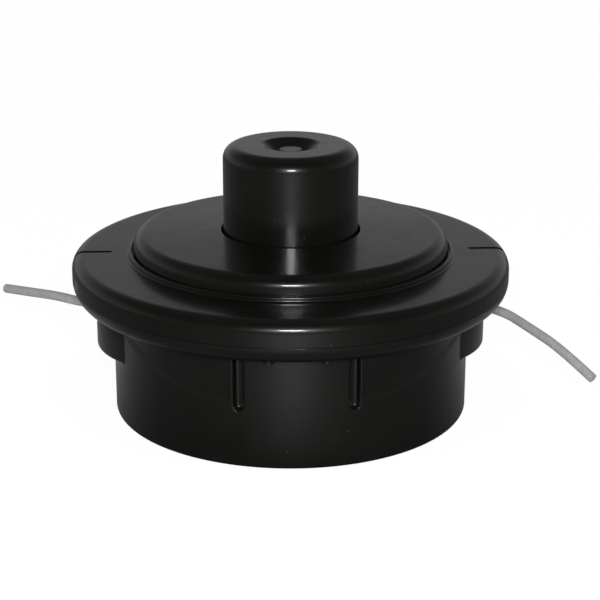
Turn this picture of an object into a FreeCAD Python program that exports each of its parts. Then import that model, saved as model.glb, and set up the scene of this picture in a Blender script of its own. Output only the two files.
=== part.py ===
"""Bump feed trimmer head: a moulded cup, its clip-on cover, spool, spring and knob, in millimetres.

The origin is the centre of the arbor side, +Z runs up the axis to the knob, the press
tongues of the cup look along -Y and +Y, and the two line exits along -X and +X.
"""
import FreeCAD, Part
import math
import os
from types import SimpleNamespace

import Sketcher

# Driving dimensions: alias, value, meaning
SIZES = (
    ("cup_radius", 45.0, "outside of the cup wall"),
    ("cup_wall", 2.5, "thickness of the cup wall"),
    ("cup_edge", 0.8, "rounding of the arbor side edge"),
    ("relief_depth", 2.5, "depth of the ribbed relief on the arbor side"),
    ("relief_margin", 3.5, "width of the rim round that relief"),
    ("rib_width", 1.6, "thickness of a rib in the relief"),
    ("rib_count", 12, "ribs in the relief"),
    ("deck_thickness", 3.0, "floor of the cup"),
    ("hub_radius", 13.0, "hub round the nut"),
    ("hub_height", 11.5, "top of the hub"),
    ("post_radius", 8.5, "post that the spool slides on"),
    ("post_top", 50.0, "top of the post"),
    ("spindle_bore", 5.2, "radius of the run-out above the nut"),
    ("spindle_end", 12.0, "floor of that run-out"),
    ("nut_flats", 17.0, "width of the nut across its flats"),
    ("nut_height", 8.0, "height of the nut"),
    ("nut_sink", 0.8, "how far the nut lies below the rim"),
    ("nut_bore", 4.325, "radius of the thread's crests"),
    ("nut_chamfer", 0.8, "chamfer at the mouths of the thread"),
    ("rim_radius", 55.0, "outside of the flange"),
    ("rim_round", 5.5, "rounding of the flange's lower edge"),
    ("rim_shoulder", 3.5, "rounding of the flange's upper edge"),
    ("rim_wall", 2.5, "thickness of the flange's wall and plate"),
    ("rim_top", 40.3, "upper face of the flange"),
    ("lip_bottom", 29.2, "lower face of the cup's lip"),
    ("lip_thickness", 4.8, "thickness of that lip"),
    ("parting_gap", 0.25, "parting line between the lip and the flange"),
    ("seat_gap", 0.3, "clearance between moulded pieces that fit in each other"),
    ("collar_radius", 40.9, "outside of the low collar round the disc"),
    ("collar_wall", 0.9, "thickness of the collar"),
    ("collar_height", 1.2, "height of the collar above the flange"),
    ("latch_ring_wall", 2.6, "thickness of the latch ring inside the cover"),
    ("slit_width", 1.6, "width of the slits in the flange"),
    ("slit_depth", 1.6, "depth of those slits"),
    ("slit_start", 45.0, "inner end of those slits, from the axis"),
    ("slot_angle", 17.7, "angle from a tongue's middle to its slots"),
    ("slot_width", 2.6, "width of those slots"),
    ("slot_bottom", 14.2, "lowest point of those slots"),
    ("slot_depth", 1.8, "depth of those slots below the lip, where a thin web closes them"),
    ("tongue_gap", 0.9, "flexing gap between a tongue and the lip"),
    ("hook_angle", 13.0, "half the angle that a latch hook spans"),
    ("hook_depth", 2.0, "how far a latch hook stands out"),
    ("hook_height", 1.7, "height of a latch hook"),
    ("hook_bottom", 35.2, "lower face of a latch hook"),
    ("wing_depth", 0.8, "depth of the recessed wings beside the tongues"),
    ("wing_bottom", 16.2, "ledge of a wing beside its slot"),
    ("wing_start_angle", 21.0, "angle at which a wing starts"),
    ("wing_bend_angle", 29.0, "angle at which its ledge starts to rise"),
    ("wing_middle_angle", 48.5, "angle half way up the rise"),
    ("wing_end_angle", 68.0, "angle at which a wing ends"),
    ("wing_rise", 8.2, "how far the ledge rises"),
    ("lobe_offset", 4.4, "how far a line lobe stands out from the cup wall"),
    ("lobe_radius", 23.0, "radius of a line lobe in plan"),
    ("lobe_bottom", 16.4, "lower face of the lobes"),
    ("lobe_edge", 0.8, "rounding of the lobes' lower edge"),
    ("eyelet_height", 25.6, "height of the line exits"),
    ("eyelet_radius", 3.2, "outside of an eyelet's barrel"),
    ("eyelet_bore", 1.8, "radius of an eyelet's bore"),
    ("eyelet_flange_radius", 4.2, "outside of an eyelet's flange"),
    ("eyelet_flange", 1.0, "thickness of that flange"),
    ("eyelet_flare", 0.9, "rounding of the eyelet's two mouths"),
    ("fit_gap", 0.05, "clearance of pieces pushed into their seats"),
    ("disc_radius", 39.7, "outside of the raised disc"),
    ("disc_top", 45.6, "upper face of the disc"),
    ("disc_edge", 2.3, "rounding of the disc's edge"),
    ("disc_thickness", 2.6, "thickness of the disc"),
    ("disc_skirt", 2.2, "thickness of the disc's skirt"),
    ("disc_spigot_wall", 1.4, "thickness of the spigot under the disc"),
    ("disc_spigot_radius", 36.2, "outside of that spigot"),
    ("disc_bead", 0.5, "snap bead at the spigot's end"),
    ("disc_bead_height", 0.7, "height of that bead"),
    ("knob_radius", 16.9, "outside of the knob"),
    ("knob_gap", 0.65, "clearance round the knob in the disc"),
    ("knob_top", 67.7, "top of the knob"),
    ("knob_edge", 3.4, "rounding of the knob's upper edge"),
    ("knob_wall", 3.4, "thickness of the knob's wall"),
    ("knob_dish_radius", 7.6, "rim of the dish in the knob's top"),
    ("knob_dish_floor", 3.1, "radius of the dish's flat floor"),
    ("knob_dish_depth", 3.0, "depth of the dish"),
    ("knob_dish_round", 1.6, "rounding of the dish's rim and floor"),
    ("knob_crown", 2.6, "thickness of the knob under the dish"),
    ("spool_side_gap", 2.0, "clearance of the spool's flanges in the cup"),
    ("spool_flange", 1.8, "thickness of those flanges"),
    ("spool_chamber", 8.5, "height of a line chamber"),
    ("spool_core_radius", 17.0, "outside of the spool's core"),
    ("spool_core_wall", 3.0, "thickness of the core"),
    ("spool_cap_radius", 32.0, "raised plate on the spool that carries the upper dogs"),
    ("spool_cap_top", 39.0, "upper face of that plate"),
    ("spool_bore_gap", 0.1, "running clearance of the spool on the post"),
    ("spool_neck_top", 47.0, "end of the neck that carries the knob"),
    ("thrust_ring_inner", 18.0, "inside of the spool's thrust ring"),
    ("thrust_ring_wall", 3.5, "thickness of the thrust ring"),
    ("run_gap", 0.25, "running gap between moving faces"),
    ("bump_travel", 6.0, "how far the knob can be pushed in"),
    ("dog_count", 12, "index dogs in each ring"),
    ("dog_inner", 24.0, "inside of the dogs"),
    ("dog_length", 6.0, "radial length of a dog"),
    ("dog_angle", 9.0, "angle that a dog spans"),
    ("dog_height", 2.5, "height of the lower dogs"),
    ("dog_overlap", 2.5, "overlap of the upper dogs at rest"),
    ("upper_dog_lead", 17.0, "angle from a disc dog to the spool dog that follows it"),
    ("lower_dog_lead", 25.5, "the same on the lower dogs"),
    ("washer_thickness", 0.8, "lower spring washer"),
    ("thrust_washer_thickness", 1.2, "washer between the spring and the spool"),
    ("washer_gap", 0.4, "clearance of the washers on the post and in the core"),
    ("spring_radius", 11.0, "mean radius of the spring"),
    ("spring_wire", 1.6, "diameter of the spring's wire"),
    ("spring_turns", 6, "turns of the spring"),
    ("line_diameter", 2.4, "diameter of the cutting line"),
    ("line_layers", 7, "layers of line on the spool"),
)

# Hand-chosen routes of the two free line ends, from inside the eyelet to the cut end
RIGHT_ROUTE = (
    (43.4, 0.1, 25.8),
    (53.0, -0.8, 25.0),
    (60.4, -8.8, 21.6),
    (67.0, -17.0, 18.6),
    (73.4, -25.0, 13.9),
)
LEFT_ROUTE = (
    (-43.4, -0.1, 25.3),
    (-53.0, 0.8, 26.3),
    (-60.4, 9.0, 26.0),
    (-68.0, 17.0, 24.6),
    (-75.4, 25.2, 22.9),
)
# Share of the shorter run that an arc of a route takes up
ARC_SHARE = 0.45


class Dim:
    """A size as a number, together with the document expression that gives it."""

    def __init__(self, value, text):
        self.value = float(value)
        self.text = text

    @staticmethod
    def of(other):
        """Take a plain number as a size."""
        return other if isinstance(other, Dim) else Dim(other, repr(float(other)))

    def _join(self, sign, other, value):
        return Dim(value, f"({self.text} {sign} {other.text})")

    def __add__(self, other):
        other = Dim.of(other)
        return self._join("+", other, self.value + other.value)

    def __sub__(self, other):
        other = Dim.of(other)
        return self._join("-", other, self.value - other.value)

    def __rsub__(self, other):
        return Dim.of(other) - self

    def __mul__(self, other):
        other = Dim.of(other)
        return self._join("*", other, self.value * other.value)

    def __truediv__(self, other):
        other = Dim.of(other)
        return self._join("/", other, self.value / other.value)

    def __neg__(self):
        return Dim(-self.value, f"(0 - {self.text})")


def root(square):
    """Square root of a size."""
    return Dim(math.sqrt(square.value), f"sqrt({square.text})")


def smaller(first, second):
    """The smaller of two sizes."""
    return Dim(min(first.value, second.value), f"min({first.text}; {second.text})")


def polar(radius, angle):
    """Place a point by its radius and its angle in degrees from the sketch's first axis."""
    radius = Dim.of(radius)
    angle = Dim.of(angle)
    turn = math.radians(angle.value)
    cosine = Dim(math.cos(turn), f"cos({angle.text} * 1 deg)")
    sine = Dim(math.sin(turn), f"sin({angle.text} * 1 deg)")
    return radius * cosine, radius * sine


doc = FreeCAD.newDocument("bump_feed_trimmer_head")
sheet = doc.addObject("Spreadsheet::Sheet", "sizes")
for row, (alias, value, meaning) in enumerate(SIZES, start=1):
    sheet.set(f"A{row}", meaning)
    sheet.set(f"B{row}", str(value))
    sheet.setAlias(f"B{row}", alias)
doc.recompute()
size = SimpleNamespace(**{alias: Dim(value, f"sizes.{alias}") for alias, value, _ in SIZES})
pieces = {}

NOUGHT = 1e-7
H_AXIS, V_AXIS = -1, -2
START, END, CENTRE = 1, 2, 3
# Direction of the front tongue, and the turn between a nut's corners, in degrees
FRONT = -90
NUT_TURN = 60


def origin_item(body, role):
    """Find a plane or axis of a body's own origin."""
    return next(item for item in body.Origin.OriginFeatures if item.Role == role)


def new_body(name):
    """Start a body."""
    body = doc.addObject("PartDesign::Body", name)
    body.Label = name
    return body


def new_sketch(body, name, plane, height=None):
    """Start a sketch on one of the body's planes, raised by height along its normal."""
    sketch = body.newObject("Sketcher::SketchObject", name)
    sketch.AttachmentSupport = (origin_item(body, plane), "")
    sketch.MapMode = "FlatFace"
    if height is not None:
        sketch.setExpression(".AttachmentOffset.Base.z", height.text)
    return sketch


def hold(sketch, constraint, dim):
    """Add a constraint whose value follows a size."""
    number = sketch.addConstraint(constraint)
    sketch.renameConstraint(number, f"held_{number}")
    sketch.setExpression(f"Constraints.held_{number}", dim.text)


def hold_coordinate(sketch, side, end, kind, dim):
    """Hold one coordinate of a point, which lies on the axis where that is nought."""
    dim = Dim.of(dim)
    if abs(dim.value) < NOUGHT:
        axis = V_AXIS if kind == "DistanceX" else H_AXIS
        sketch.addConstraint(Sketcher.Constraint("PointOnObject", side, end, axis))
    else:
        hold(sketch, Sketcher.Constraint(kind, H_AXIS, START, side, end, dim.value), dim)


def hold_point(sketch, side, end, u, v):
    """Hold a point at its two coordinates."""
    hold_coordinate(sketch, side, end, "DistanceX", u)
    hold_coordinate(sketch, side, end, "DistanceY", v)


def hold_bend(sketch, side, start, end, radius):
    """Hold an arc between two held points: a half round by its centre, any other by its radius."""
    across = abs(Dim.of(end[0]).value - Dim.of(start[0]).value)
    along = abs(Dim.of(end[1]).value - Dim.of(start[1]).value)
    if math.hypot(across, along) < 2 * radius.value - NOUGHT:
        hold(sketch, Sketcher.Constraint("Radius", side, radius.value), radius)
    elif across > along:
        hold_coordinate(sketch, side, CENTRE, "DistanceY", start[1])
    else:
        hold_coordinate(sketch, side, CENTRE, "DistanceX", start[0])


def bent_side(start, end, radius, turn):
    """Make the arc from start to end, turning left (1) or right (-1)."""
    chord = end - start
    middle = (start + end) * 0.5
    left = FreeCAD.Vector(-chord.y, chord.x, 0).normalize()
    reach = math.sqrt(max(radius**2 - (chord.Length / 2) ** 2, 0.0))
    centre = middle + left * (reach * turn)
    first, last = (start, end) if turn > 0 else (end, start)
    angle_first = math.atan2(first.y - centre.y, first.x - centre.x)
    angle_last = math.atan2(last.y - centre.y, last.x - centre.x)
    if angle_last < angle_first:
        angle_last += 2 * math.pi
    circle = Part.Circle(centre, FreeCAD.Vector(0, 0, 1), radius)
    return Part.ArcOfCircle(circle, angle_first, angle_last)


def add_loop(sketch, points, rounds=None, hollows=None):
    """Draw one closed anticlockwise outline.

    rounds and hollows give the radius of each side, by number, that is an arc bulging out or in.
    """
    bends = {side: (radius, 1) for side, radius in (rounds or {}).items()}
    bends.update({side: (radius, -1) for side, radius in (hollows or {}).items()})
    corners = [FreeCAD.Vector(Dim.of(u).value, Dim.of(v).value, 0) for u, v in points]
    ends = []
    for number, start in enumerate(corners):
        end = corners[(number + 1) % len(corners)]
        if number in bends:
            radius, turn = bends[number]
            geometry = bent_side(start, end, radius.value, turn)
            ends.append((START, END) if turn > 0 else (END, START))
        else:
            geometry = Part.LineSegment(start, end)
            ends.append((START, END))
        ends[-1] = (sketch.addGeometry(geometry, False),) + ends[-1]
    for number, (side, first, _) in enumerate(ends):
        before, _, last = ends[number - 1]
        sketch.addConstraint(Sketcher.Constraint("Coincident", before, last, side, first))
    for (side, first, _), (u, v) in zip(ends, points):
        hold_point(sketch, side, first, u, v)
    for number, (radius, _) in bends.items():
        hold_bend(sketch, ends[number][0], points[number], points[(number + 1) % len(points)], radius)


def add_circle(sketch, u, v, radius):
    """Draw one circle."""
    centre = FreeCAD.Vector(Dim.of(u).value, Dim.of(v).value, 0)
    side = sketch.addGeometry(Part.Circle(centre, FreeCAD.Vector(0, 0, 1), radius.value), False)
    hold_point(sketch, side, CENTRE, u, v)
    hold(sketch, Sketcher.Constraint("Radius", side, radius.value), radius)


def turn_profile(body, name, points, rounds=None, hollows=None, cut=False):
    """Turn an outline round the Z axis, as added or removed material."""
    sketch = new_sketch(body, name + "_outline", "XZ_Plane")
    add_loop(sketch, points, rounds, hollows)
    feature = body.newObject("PartDesign::Groove" if cut else "PartDesign::Revolution", name)
    feature.Profile = sketch
    feature.ReferenceAxis = (sketch, ["V_Axis"])
    feature.Angle = 360.0
    return feature


def pull(body, name, sketch, length=None, cut=False, both=False, flip=False):
    """Pad or pocket a sketch; with no length a pocket goes through everything."""
    feature = body.newObject("PartDesign::Pocket" if cut else "PartDesign::Pad", name)
    feature.Profile = sketch
    if length is None:
        feature.Type = "ThroughAll"
    else:
        feature.setExpression("Length", length.text)
    if both:
        feature.SideType = "Symmetric"
    feature.Reversed = flip
    return feature


def ring_pattern(body, name, feature, count):
    """Repeat a feature evenly round the Z axis."""
    pattern = body.newObject("PartDesign::PolarPattern", name)
    pattern.Originals = [feature]
    pattern.Axis = (origin_item(body, "Z_Axis"), [""])
    pattern.Angle = 360.0
    pattern.setExpression("Occurrences", count.text)
    body.Tip = pattern
    return pattern


def sector(sketch, inner, outer, middle, half_angle):
    """Draw a curved block between two radii, about the direction middle in degrees."""
    low = Dim.of(middle) - half_angle
    high = Dim.of(middle) + half_angle
    corners = (polar(outer, low), polar(outer, high), polar(inner, high), polar(inner, low))
    add_loop(sketch, corners, rounds={0: outer}, hollows={2: inner})


def add_dogs(body, name, base, middle, height, down=False):
    """Raise a ring of index dogs on the face at base."""
    sketch = new_sketch(body, name + "_outline", "XY_Plane", base)
    sector(sketch, size.dog_inner, size.dog_inner + size.dog_length, middle, size.dog_angle / 2)
    dog = pull(body, name, sketch, height, flip=down)
    return ring_pattern(body, name + "_ring", dog, size.dog_count)


def keep(name, item):
    """Name a finished piece."""
    item.Label = name
    pieces[name] = item


# Heights and radii that several pieces share
cup_inside = size.cup_radius - size.cup_wall
deck_top = size.relief_depth + size.deck_thickness
lip_top = size.lip_bottom + size.lip_thickness
plate_under = size.rim_top - size.rim_wall
spigot_top = plate_under - size.seat_gap
skirt_inside = size.rim_radius - size.rim_wall
overhang = size.rim_radius - size.cup_radius
lower_round = smaller(size.rim_round, overhang - size.seat_gap)
round_centre_radius = size.rim_radius - lower_round
round_centre_height = size.lip_bottom + lower_round
rim_bottom = lip_top + size.parting_gap
latch_inner = size.cup_radius + size.seat_gap
latch_outer = smaller(latch_inner + size.latch_ring_wall, skirt_inside - size.seat_gap)
disc_under = size.disc_top - size.disc_thickness
disc_seat = size.disc_spigot_radius + size.seat_gap
spool_bottom = deck_top + size.dog_height + size.run_gap + size.bump_travel
lower_chamber = spool_bottom + size.spool_flange
middle_flange = lower_chamber + size.spool_chamber
upper_chamber = middle_flange + size.spool_flange
top_flange = upper_chamber + size.spool_chamber
spool_top = top_flange + size.spool_flange
spool_edge = cup_inside - size.spool_side_gap
core_inside = size.spool_core_radius - size.spool_core_wall
web_under = top_flange + size.run_gap
lobe_reach = size.cup_radius + size.lobe_offset
lobe_centre = lobe_reach - size.lobe_radius
line_radius = size.line_diameter / 2
upper_dog_top = size.spool_cap_top + size.dog_overlap + size.run_gap * 2


def rounding_radius_at(height):
    """Radius of the flange's lower rounding at a height."""
    drop = round_centre_height - height
    return round_centre_radius + root(lower_round * lower_round - drop * drop)


def build_housing():
    """Mould the cup: wall, lip, lobes, hub, post, press tongues and recessed wings."""
    body = new_body("cup")
    turn_profile(
        body,
        "cup_blank",
        (
            (0, 0),
            (size.cup_radius - size.cup_edge, 0),
            (size.cup_radius, size.cup_edge),
            (size.cup_radius, size.lip_bottom),
            (round_centre_radius, size.lip_bottom),
            (rounding_radius_at(lip_top), lip_top),
            (size.cup_radius, lip_top),
            (size.cup_radius, spigot_top),
            (size.post_radius, spigot_top),
            (size.post_radius, size.post_top),
            (0, size.post_top),
        ),
        rounds={1: size.cup_edge, 4: lower_round},
    )
    lobes = new_sketch(body, "lobe_outline", "XY_Plane", size.lobe_bottom)
    for side in (1, -1):
        add_circle(lobes, lobe_centre * side, 0, size.lobe_radius)
    pull(body, "lobes", lobes, lip_top - size.lobe_bottom)
    doc.recompute()
    round_lobes(body)
    turn_profile(
        body,
        "cavity",
        (
            (size.hub_radius, deck_top),
            (cup_inside, deck_top),
            (cup_inside, spigot_top),
            (size.post_radius, spigot_top),
            (size.post_radius, size.hub_height),
            (size.hub_radius, size.hub_height),
        ),
        cut=True,
    )
    relief_outside = size.cup_radius - size.relief_margin
    turn_profile(
        body,
        "relief",
        (
            (size.hub_radius, 0),
            (relief_outside, 0),
            (relief_outside, size.relief_depth),
            (size.hub_radius, size.relief_depth),
        ),
        cut=True,
    )
    rib = new_sketch(body, "rib_outline", "XY_Plane")
    rib_half = size.rib_width / 2
    rib_end = relief_outside + rib_half
    rib_start = size.hub_radius - rib_half
    add_loop(rib, ((rib_start, -rib_half), (rib_end, -rib_half), (rib_end, rib_half), (rib_start, rib_half)))
    ring_pattern(body, "ribs", pull(body, "rib", rib, size.relief_depth), size.rib_count)
    cut_nut_seat(body)
    add_dogs(body, "deck_dog", deck_top, 0, size.dog_height)
    cut_tongues(body)
    cut_line_exits(body)
    doc.recompute()
    winged = doc.addObject("Part::Cut", "winged_cup")
    winged.Base = body
    winged.Tool = build_wings()
    housing = doc.addObject("Part::Cut", "housing")
    housing.Base = winged
    housing.Tool = build_grooves()
    keep("housing", housing)


def round_lobes(body):
    """Round the lower edges of the two line lobes."""
    lobes = body.Tip
    names = []
    for number, edge in enumerate(lobes.Shape.Edges, start=1):
        low = abs(edge.BoundBox.ZMax - size.lobe_bottom.value) < NOUGHT
        arc = isinstance(edge.Curve, Part.Circle)
        if low and arc and abs(edge.Curve.Radius - size.lobe_radius.value) < NOUGHT:
            names.append(f"Edge{number}")
    fillet = body.newObject("PartDesign::Fillet", "lobe_rounding")
    fillet.Base = (lobes, names)
    fillet.setExpression("Radius", size.lobe_edge.text)


def cut_nut_seat(body):
    """Sink the hexagon seat of the nut and the spindle's run-out into the hub."""
    seat = new_sketch(body, "nut_seat_outline", "XY_Plane")
    add_hexagon(seat, size.nut_flats + size.fit_gap * 2)
    pull(body, "nut_seat", seat, size.nut_sink + size.nut_height, cut=True, flip=True)
    runout = new_sketch(body, "run_out_outline", "XY_Plane")
    add_circle(runout, 0, 0, size.spindle_bore)
    pull(body, "run_out", runout, size.spindle_end, cut=True, flip=True)


def add_hexagon(sketch, flats):
    """Draw a hexagon by its width across flats."""
    corner = flats / root(Dim.of(3))
    add_loop(sketch, tuple(polar(corner, NUT_TURN * number) for number in range(6)))


def slot_sides():
    """Give the left and right side of both slots."""
    middle = size.cup_radius * polar(1, size.slot_angle)[1]
    half = size.slot_width / 2
    return [(middle * side - half, middle * side + half) for side in (1, -1)]


def slot_reach():
    """Give how far from the middle plane the slots still cut the wall."""
    near = slot_sides()[0][0]
    return root(size.cup_radius * size.cup_radius - near * near) + size.fit_gap * 2


def build_grooves():
    """Make the blocks that leave the slots' lower part as grooves with a thin web."""
    body = new_body("grooves")
    half = size.slot_width / 2
    start = size.slot_bottom + half
    outline = new_sketch(body, "groove_outline", "XZ_Plane")
    for low, high in slot_sides():
        corners = ((low, start), (high, start), (high, size.lip_bottom), (low, size.lip_bottom))
        add_loop(outline, corners, rounds={0: half})
    pull(body, "groove_blocks", outline, slot_reach() * 2, both=True)
    core = new_sketch(body, "web_outline", "XY_Plane")
    add_circle(core, 0, 0, size.cup_radius - size.slot_depth)
    pull(body, "web_core", core, size.rim_top, cut=True, flip=True)
    return body


def cut_tongues(body):
    """Free the two press tongues and give each its latch hook."""
    slots = new_sketch(body, "slot_outline", "XZ_Plane")
    for low, high in slot_sides():
        add_loop(slots, ((low, size.lip_bottom), (high, size.lip_bottom), (high, spigot_top), (low, spigot_top)))
    pull(body, "slots", slots, slot_reach() * 2, cut=True, both=True)
    gap = new_sketch(body, "flexing_gap_outline", "XY_Plane", lip_top)
    sector(gap, size.cup_radius, size.cup_radius + size.tongue_gap, FRONT, size.slot_angle)
    gaps = pull(body, "flexing_gap", gap, size.lip_thickness, cut=True)
    ring_pattern(body, "flexing_gaps", gaps, Dim.of(2))
    hook = new_sketch(body, "hook_outline", "XY_Plane", size.hook_bottom)
    hook_root = size.cup_radius - size.cup_wall / 2
    hook_end = smaller(size.cup_radius + size.hook_depth, latch_outer)
    sector(hook, hook_root, hook_end, FRONT, size.hook_angle)
    hooks = pull(body, "hook", hook, size.hook_height)
    ring_pattern(body, "hooks", hooks, Dim.of(2))


def cut_line_exits(body):
    """Bore the two line exits through the lobes, with a flat seat for each eyelet."""
    start = cup_inside - size.cup_wall
    seat = lobe_reach - size.eyelet_flange - size.seat_gap
    for name, side in (("right", 1), ("left", -1)):
        for step, radius, depth in (
            ("bore", size.eyelet_radius + size.fit_gap, start),
            ("seat", size.eyelet_flange_radius + size.fit_gap, seat),
        ):
            sketch = new_sketch(body, f"{name}_{step}_outline", "YZ_Plane", depth * side)
            add_circle(sketch, 0, size.eyelet_height, radius)
            pull(body, f"{name}_{step}", sketch, cut=True, flip=side > 0)


def build_wings():
    """Make the curved skin that is cut away beside the press tongues."""
    body = new_body("wings")
    skin_inside = size.cup_radius - size.wing_depth
    skin_outside = size.cup_radius + size.seat_gap
    turn_profile(
        body,
        "wing_skin",
        (
            (skin_inside, size.wing_bottom),
            (skin_outside, size.wing_bottom),
            (skin_outside, size.lip_bottom),
            (skin_inside, size.lip_bottom),
        ),
    )
    across = [
        size.cup_radius * polar(1, angle)[1]
        for angle in (size.wing_start_angle, size.wing_bend_angle, size.wing_middle_angle, size.wing_end_angle)
    ]
    start, bend, middle, end = across
    beyond = size.cup_radius + size.cup_wall
    half_rise = size.wing_bottom + size.wing_rise / 2
    full_rise = size.wing_bottom + size.wing_rise
    kept = new_sketch(body, "wing_limits", "XZ_Plane")
    between = (
        (-start, size.wing_bottom),
        (start, size.wing_bottom),
        (start, size.lip_bottom),
        (-start, size.lip_bottom),
    )
    add_loop(kept, between)
    limit = (
        (bend, size.wing_bottom),
        (beyond, size.wing_bottom),
        (beyond, size.lip_bottom),
        (end, size.lip_bottom),
        (end, full_rise),
        (middle, half_rise),
    )
    add_loop(kept, limit)
    add_loop(kept, tuple((-u, v) for u, v in reversed(limit)))
    pull(body, "wing_ends", kept, cut=True, both=True)
    return body


def build_cover_rim():
    """Mould the flange: plate, rolled wall, latch ring and the low collar."""
    body = new_body("cover_rim")
    turn_profile(
        body,
        "rim_blank",
        (
            (disc_seat, plate_under),
            (latch_inner, plate_under),
            (latch_inner, lip_top),
            (latch_outer, lip_top),
            (latch_outer, plate_under),
            (skirt_inside, plate_under),
            (skirt_inside, rim_bottom),
            (rounding_radius_at(rim_bottom), rim_bottom),
            (size.rim_radius, round_centre_height),
            (size.rim_radius, size.rim_top - size.rim_shoulder),
            (size.rim_radius - size.rim_shoulder, size.rim_top),
            (size.collar_radius, size.rim_top),
            (size.collar_radius, size.rim_top + size.collar_height),
            (size.collar_radius - size.collar_wall, size.rim_top + size.collar_height),
            (size.collar_radius - size.collar_wall, size.rim_top),
            (disc_seat, size.rim_top),
        ),
        rounds={7: lower_round, 9: size.rim_shoulder},
    )
    half = size.slit_width / 2
    slits = new_sketch(body, "slit_outline", "XY_Plane", size.rim_top)
    for side in (1, -1):
        near = size.slit_start
        far = size.rim_radius + half
        corners = [(near * side, -half), (far * side, -half), (far * side, half), (near * side, half)]
        add_loop(slits, tuple(corners if side > 0 else reversed(corners)))
    pull(body, "slits", slits, size.slit_depth, cut=True)
    window = new_sketch(body, "window_outline", "XZ_Plane")
    window_half = (size.cup_radius + size.hook_depth) * polar(1, size.hook_angle)[1] + size.seat_gap
    low = size.hook_bottom - size.seat_gap
    high = size.hook_bottom + size.hook_height + size.seat_gap
    corners = ((-window_half, low), (window_half, low), (window_half, high), (-window_half, high))
    add_loop(window, corners)
    pull(body, "windows", window, (latch_outer + size.seat_gap) * 2, cut=True, both=True)
    keep("cover_rim", body)


def build_cover_disc():
    """Mould the raised disc with its skirt, snap spigot and upper dogs."""
    body = new_body("cover_disc")
    hole = size.knob_radius + size.knob_gap
    skirt_inside = size.disc_radius - size.disc_skirt
    spigot_inside = size.disc_spigot_radius - size.disc_spigot_wall
    bead_top = plate_under - size.fit_gap
    bead_bottom = bead_top - size.disc_bead_height
    bead_radius = size.disc_spigot_radius + size.seat_gap + size.disc_bead
    turn_profile(
        body,
        "disc_blank",
        (
            (hole, disc_under),
            (spigot_inside, disc_under),
            (spigot_inside, bead_bottom),
            (bead_radius, bead_bottom),
            (bead_radius, bead_top),
            (size.disc_spigot_radius, bead_top),
            (size.disc_spigot_radius, disc_under),
            (skirt_inside, disc_under),
            (skirt_inside, size.rim_top),
            (size.disc_radius, size.rim_top),
            (size.disc_radius, size.disc_top - size.disc_edge),
            (size.disc_radius - size.disc_edge, size.disc_top),
            (hole, size.disc_top),
        ),
        rounds={10: size.disc_edge},
    )
    dog_drop = disc_under - (upper_dog_top - size.dog_overlap)
    add_dogs(body, "disc_dog", disc_under, 0, dog_drop, down=True)
    keep("cover_disc", body)


def build_spool():
    """Mould the two-chamber spool with its dogs, thrust ring and neck."""
    body = new_body("spool")
    ring_outer = size.thrust_ring_inner + size.thrust_ring_wall
    ring_top = disc_under - size.run_gap
    neck = size.knob_radius - size.knob_wall - size.fit_gap
    bore = size.post_radius + size.spool_bore_gap
    turn_profile(
        body,
        "spool_blank",
        (
            (core_inside, spool_bottom),
            (spool_edge, spool_bottom),
            (spool_edge, lower_chamber),
            (size.spool_core_radius, lower_chamber),
            (size.spool_core_radius, middle_flange),
            (spool_edge, middle_flange),
            (spool_edge, upper_chamber),
            (size.spool_core_radius, upper_chamber),
            (size.spool_core_radius, top_flange),
            (spool_edge, top_flange),
            (spool_edge, spool_top),
            (size.spool_cap_radius, spool_top),
            (size.spool_cap_radius, size.spool_cap_top),
            (ring_outer, size.spool_cap_top),
            (ring_outer, ring_top),
            (size.thrust_ring_inner, ring_top),
            (size.thrust_ring_inner, size.spool_cap_top),
            (neck, size.spool_cap_top),
            (neck, size.spool_neck_top),
            (bore, size.spool_neck_top),
            (bore, web_under),
            (core_inside, web_under),
        ),
    )
    add_dogs(body, "upper_dog", size.spool_cap_top, size.upper_dog_lead, upper_dog_top - size.spool_cap_top)
    add_dogs(body, "lower_dog", spool_bottom, size.lower_dog_lead, size.dog_height, down=True)
    keep("spool", body)


def build_knob():
    """Mould the hollow knob with its dished top."""
    body = new_body("bump_knob")
    inside = size.knob_radius - size.knob_wall
    dish_floor = size.knob_top - size.knob_dish_depth
    crown_under = dish_floor - size.knob_crown
    turn_profile(
        body,
        "knob_blank",
        (
            (inside, size.spool_cap_top),
            (size.knob_radius, size.spool_cap_top),
            (size.knob_radius, size.knob_top - size.knob_edge),
            (size.knob_radius - size.knob_edge, size.knob_top),
            (size.knob_dish_radius, size.knob_top),
            (size.knob_dish_radius - size.knob_dish_round, size.knob_top - size.knob_dish_round / 2),
            (size.knob_dish_floor + size.knob_dish_round / 2, dish_floor + size.knob_dish_round / 4),
            (size.knob_dish_floor, dish_floor),
            (0, dish_floor),
            (0, crown_under),
            (inside, crown_under),
        ),
        rounds={2: size.knob_edge, 4: size.knob_dish_round},
        hollows={6: size.knob_dish_round},
    )
    keep("bump_knob", body)


def build_nut():
    """Make the hexagon nut with the spindle thread's bore."""
    body = new_body("arbor_nut")
    outline = new_sketch(body, "nut_outline", "XY_Plane", size.nut_sink)
    add_hexagon(outline, size.nut_flats)
    add_circle(outline, 0, 0, size.nut_bore)
    pull(body, "nut_blank", outline, size.nut_height)
    for name, face, away in (("lower", size.nut_sink, 1), ("upper", size.nut_sink + size.nut_height, -1)):
        inner = face + size.nut_chamfer * away
        mouth = [(size.nut_bore, face), (size.nut_bore + size.nut_chamfer, face), (size.nut_bore, inner)]
        turn_profile(body, f"{name}_mouth", tuple(mouth if away > 0 else reversed(mouth)), cut=True)
    keep("arbor_nut", body)


def build_washer(name, bottom, thickness, outside):
    """Stamp a flat washer that slips over the post."""
    body = new_body(name)
    inside = size.post_radius + size.washer_gap
    top = bottom + thickness
    turn_profile(body, name + "_blank", ((inside, bottom), (outside, bottom), (outside, top), (inside, top)))
    keep(name, body)


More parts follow.
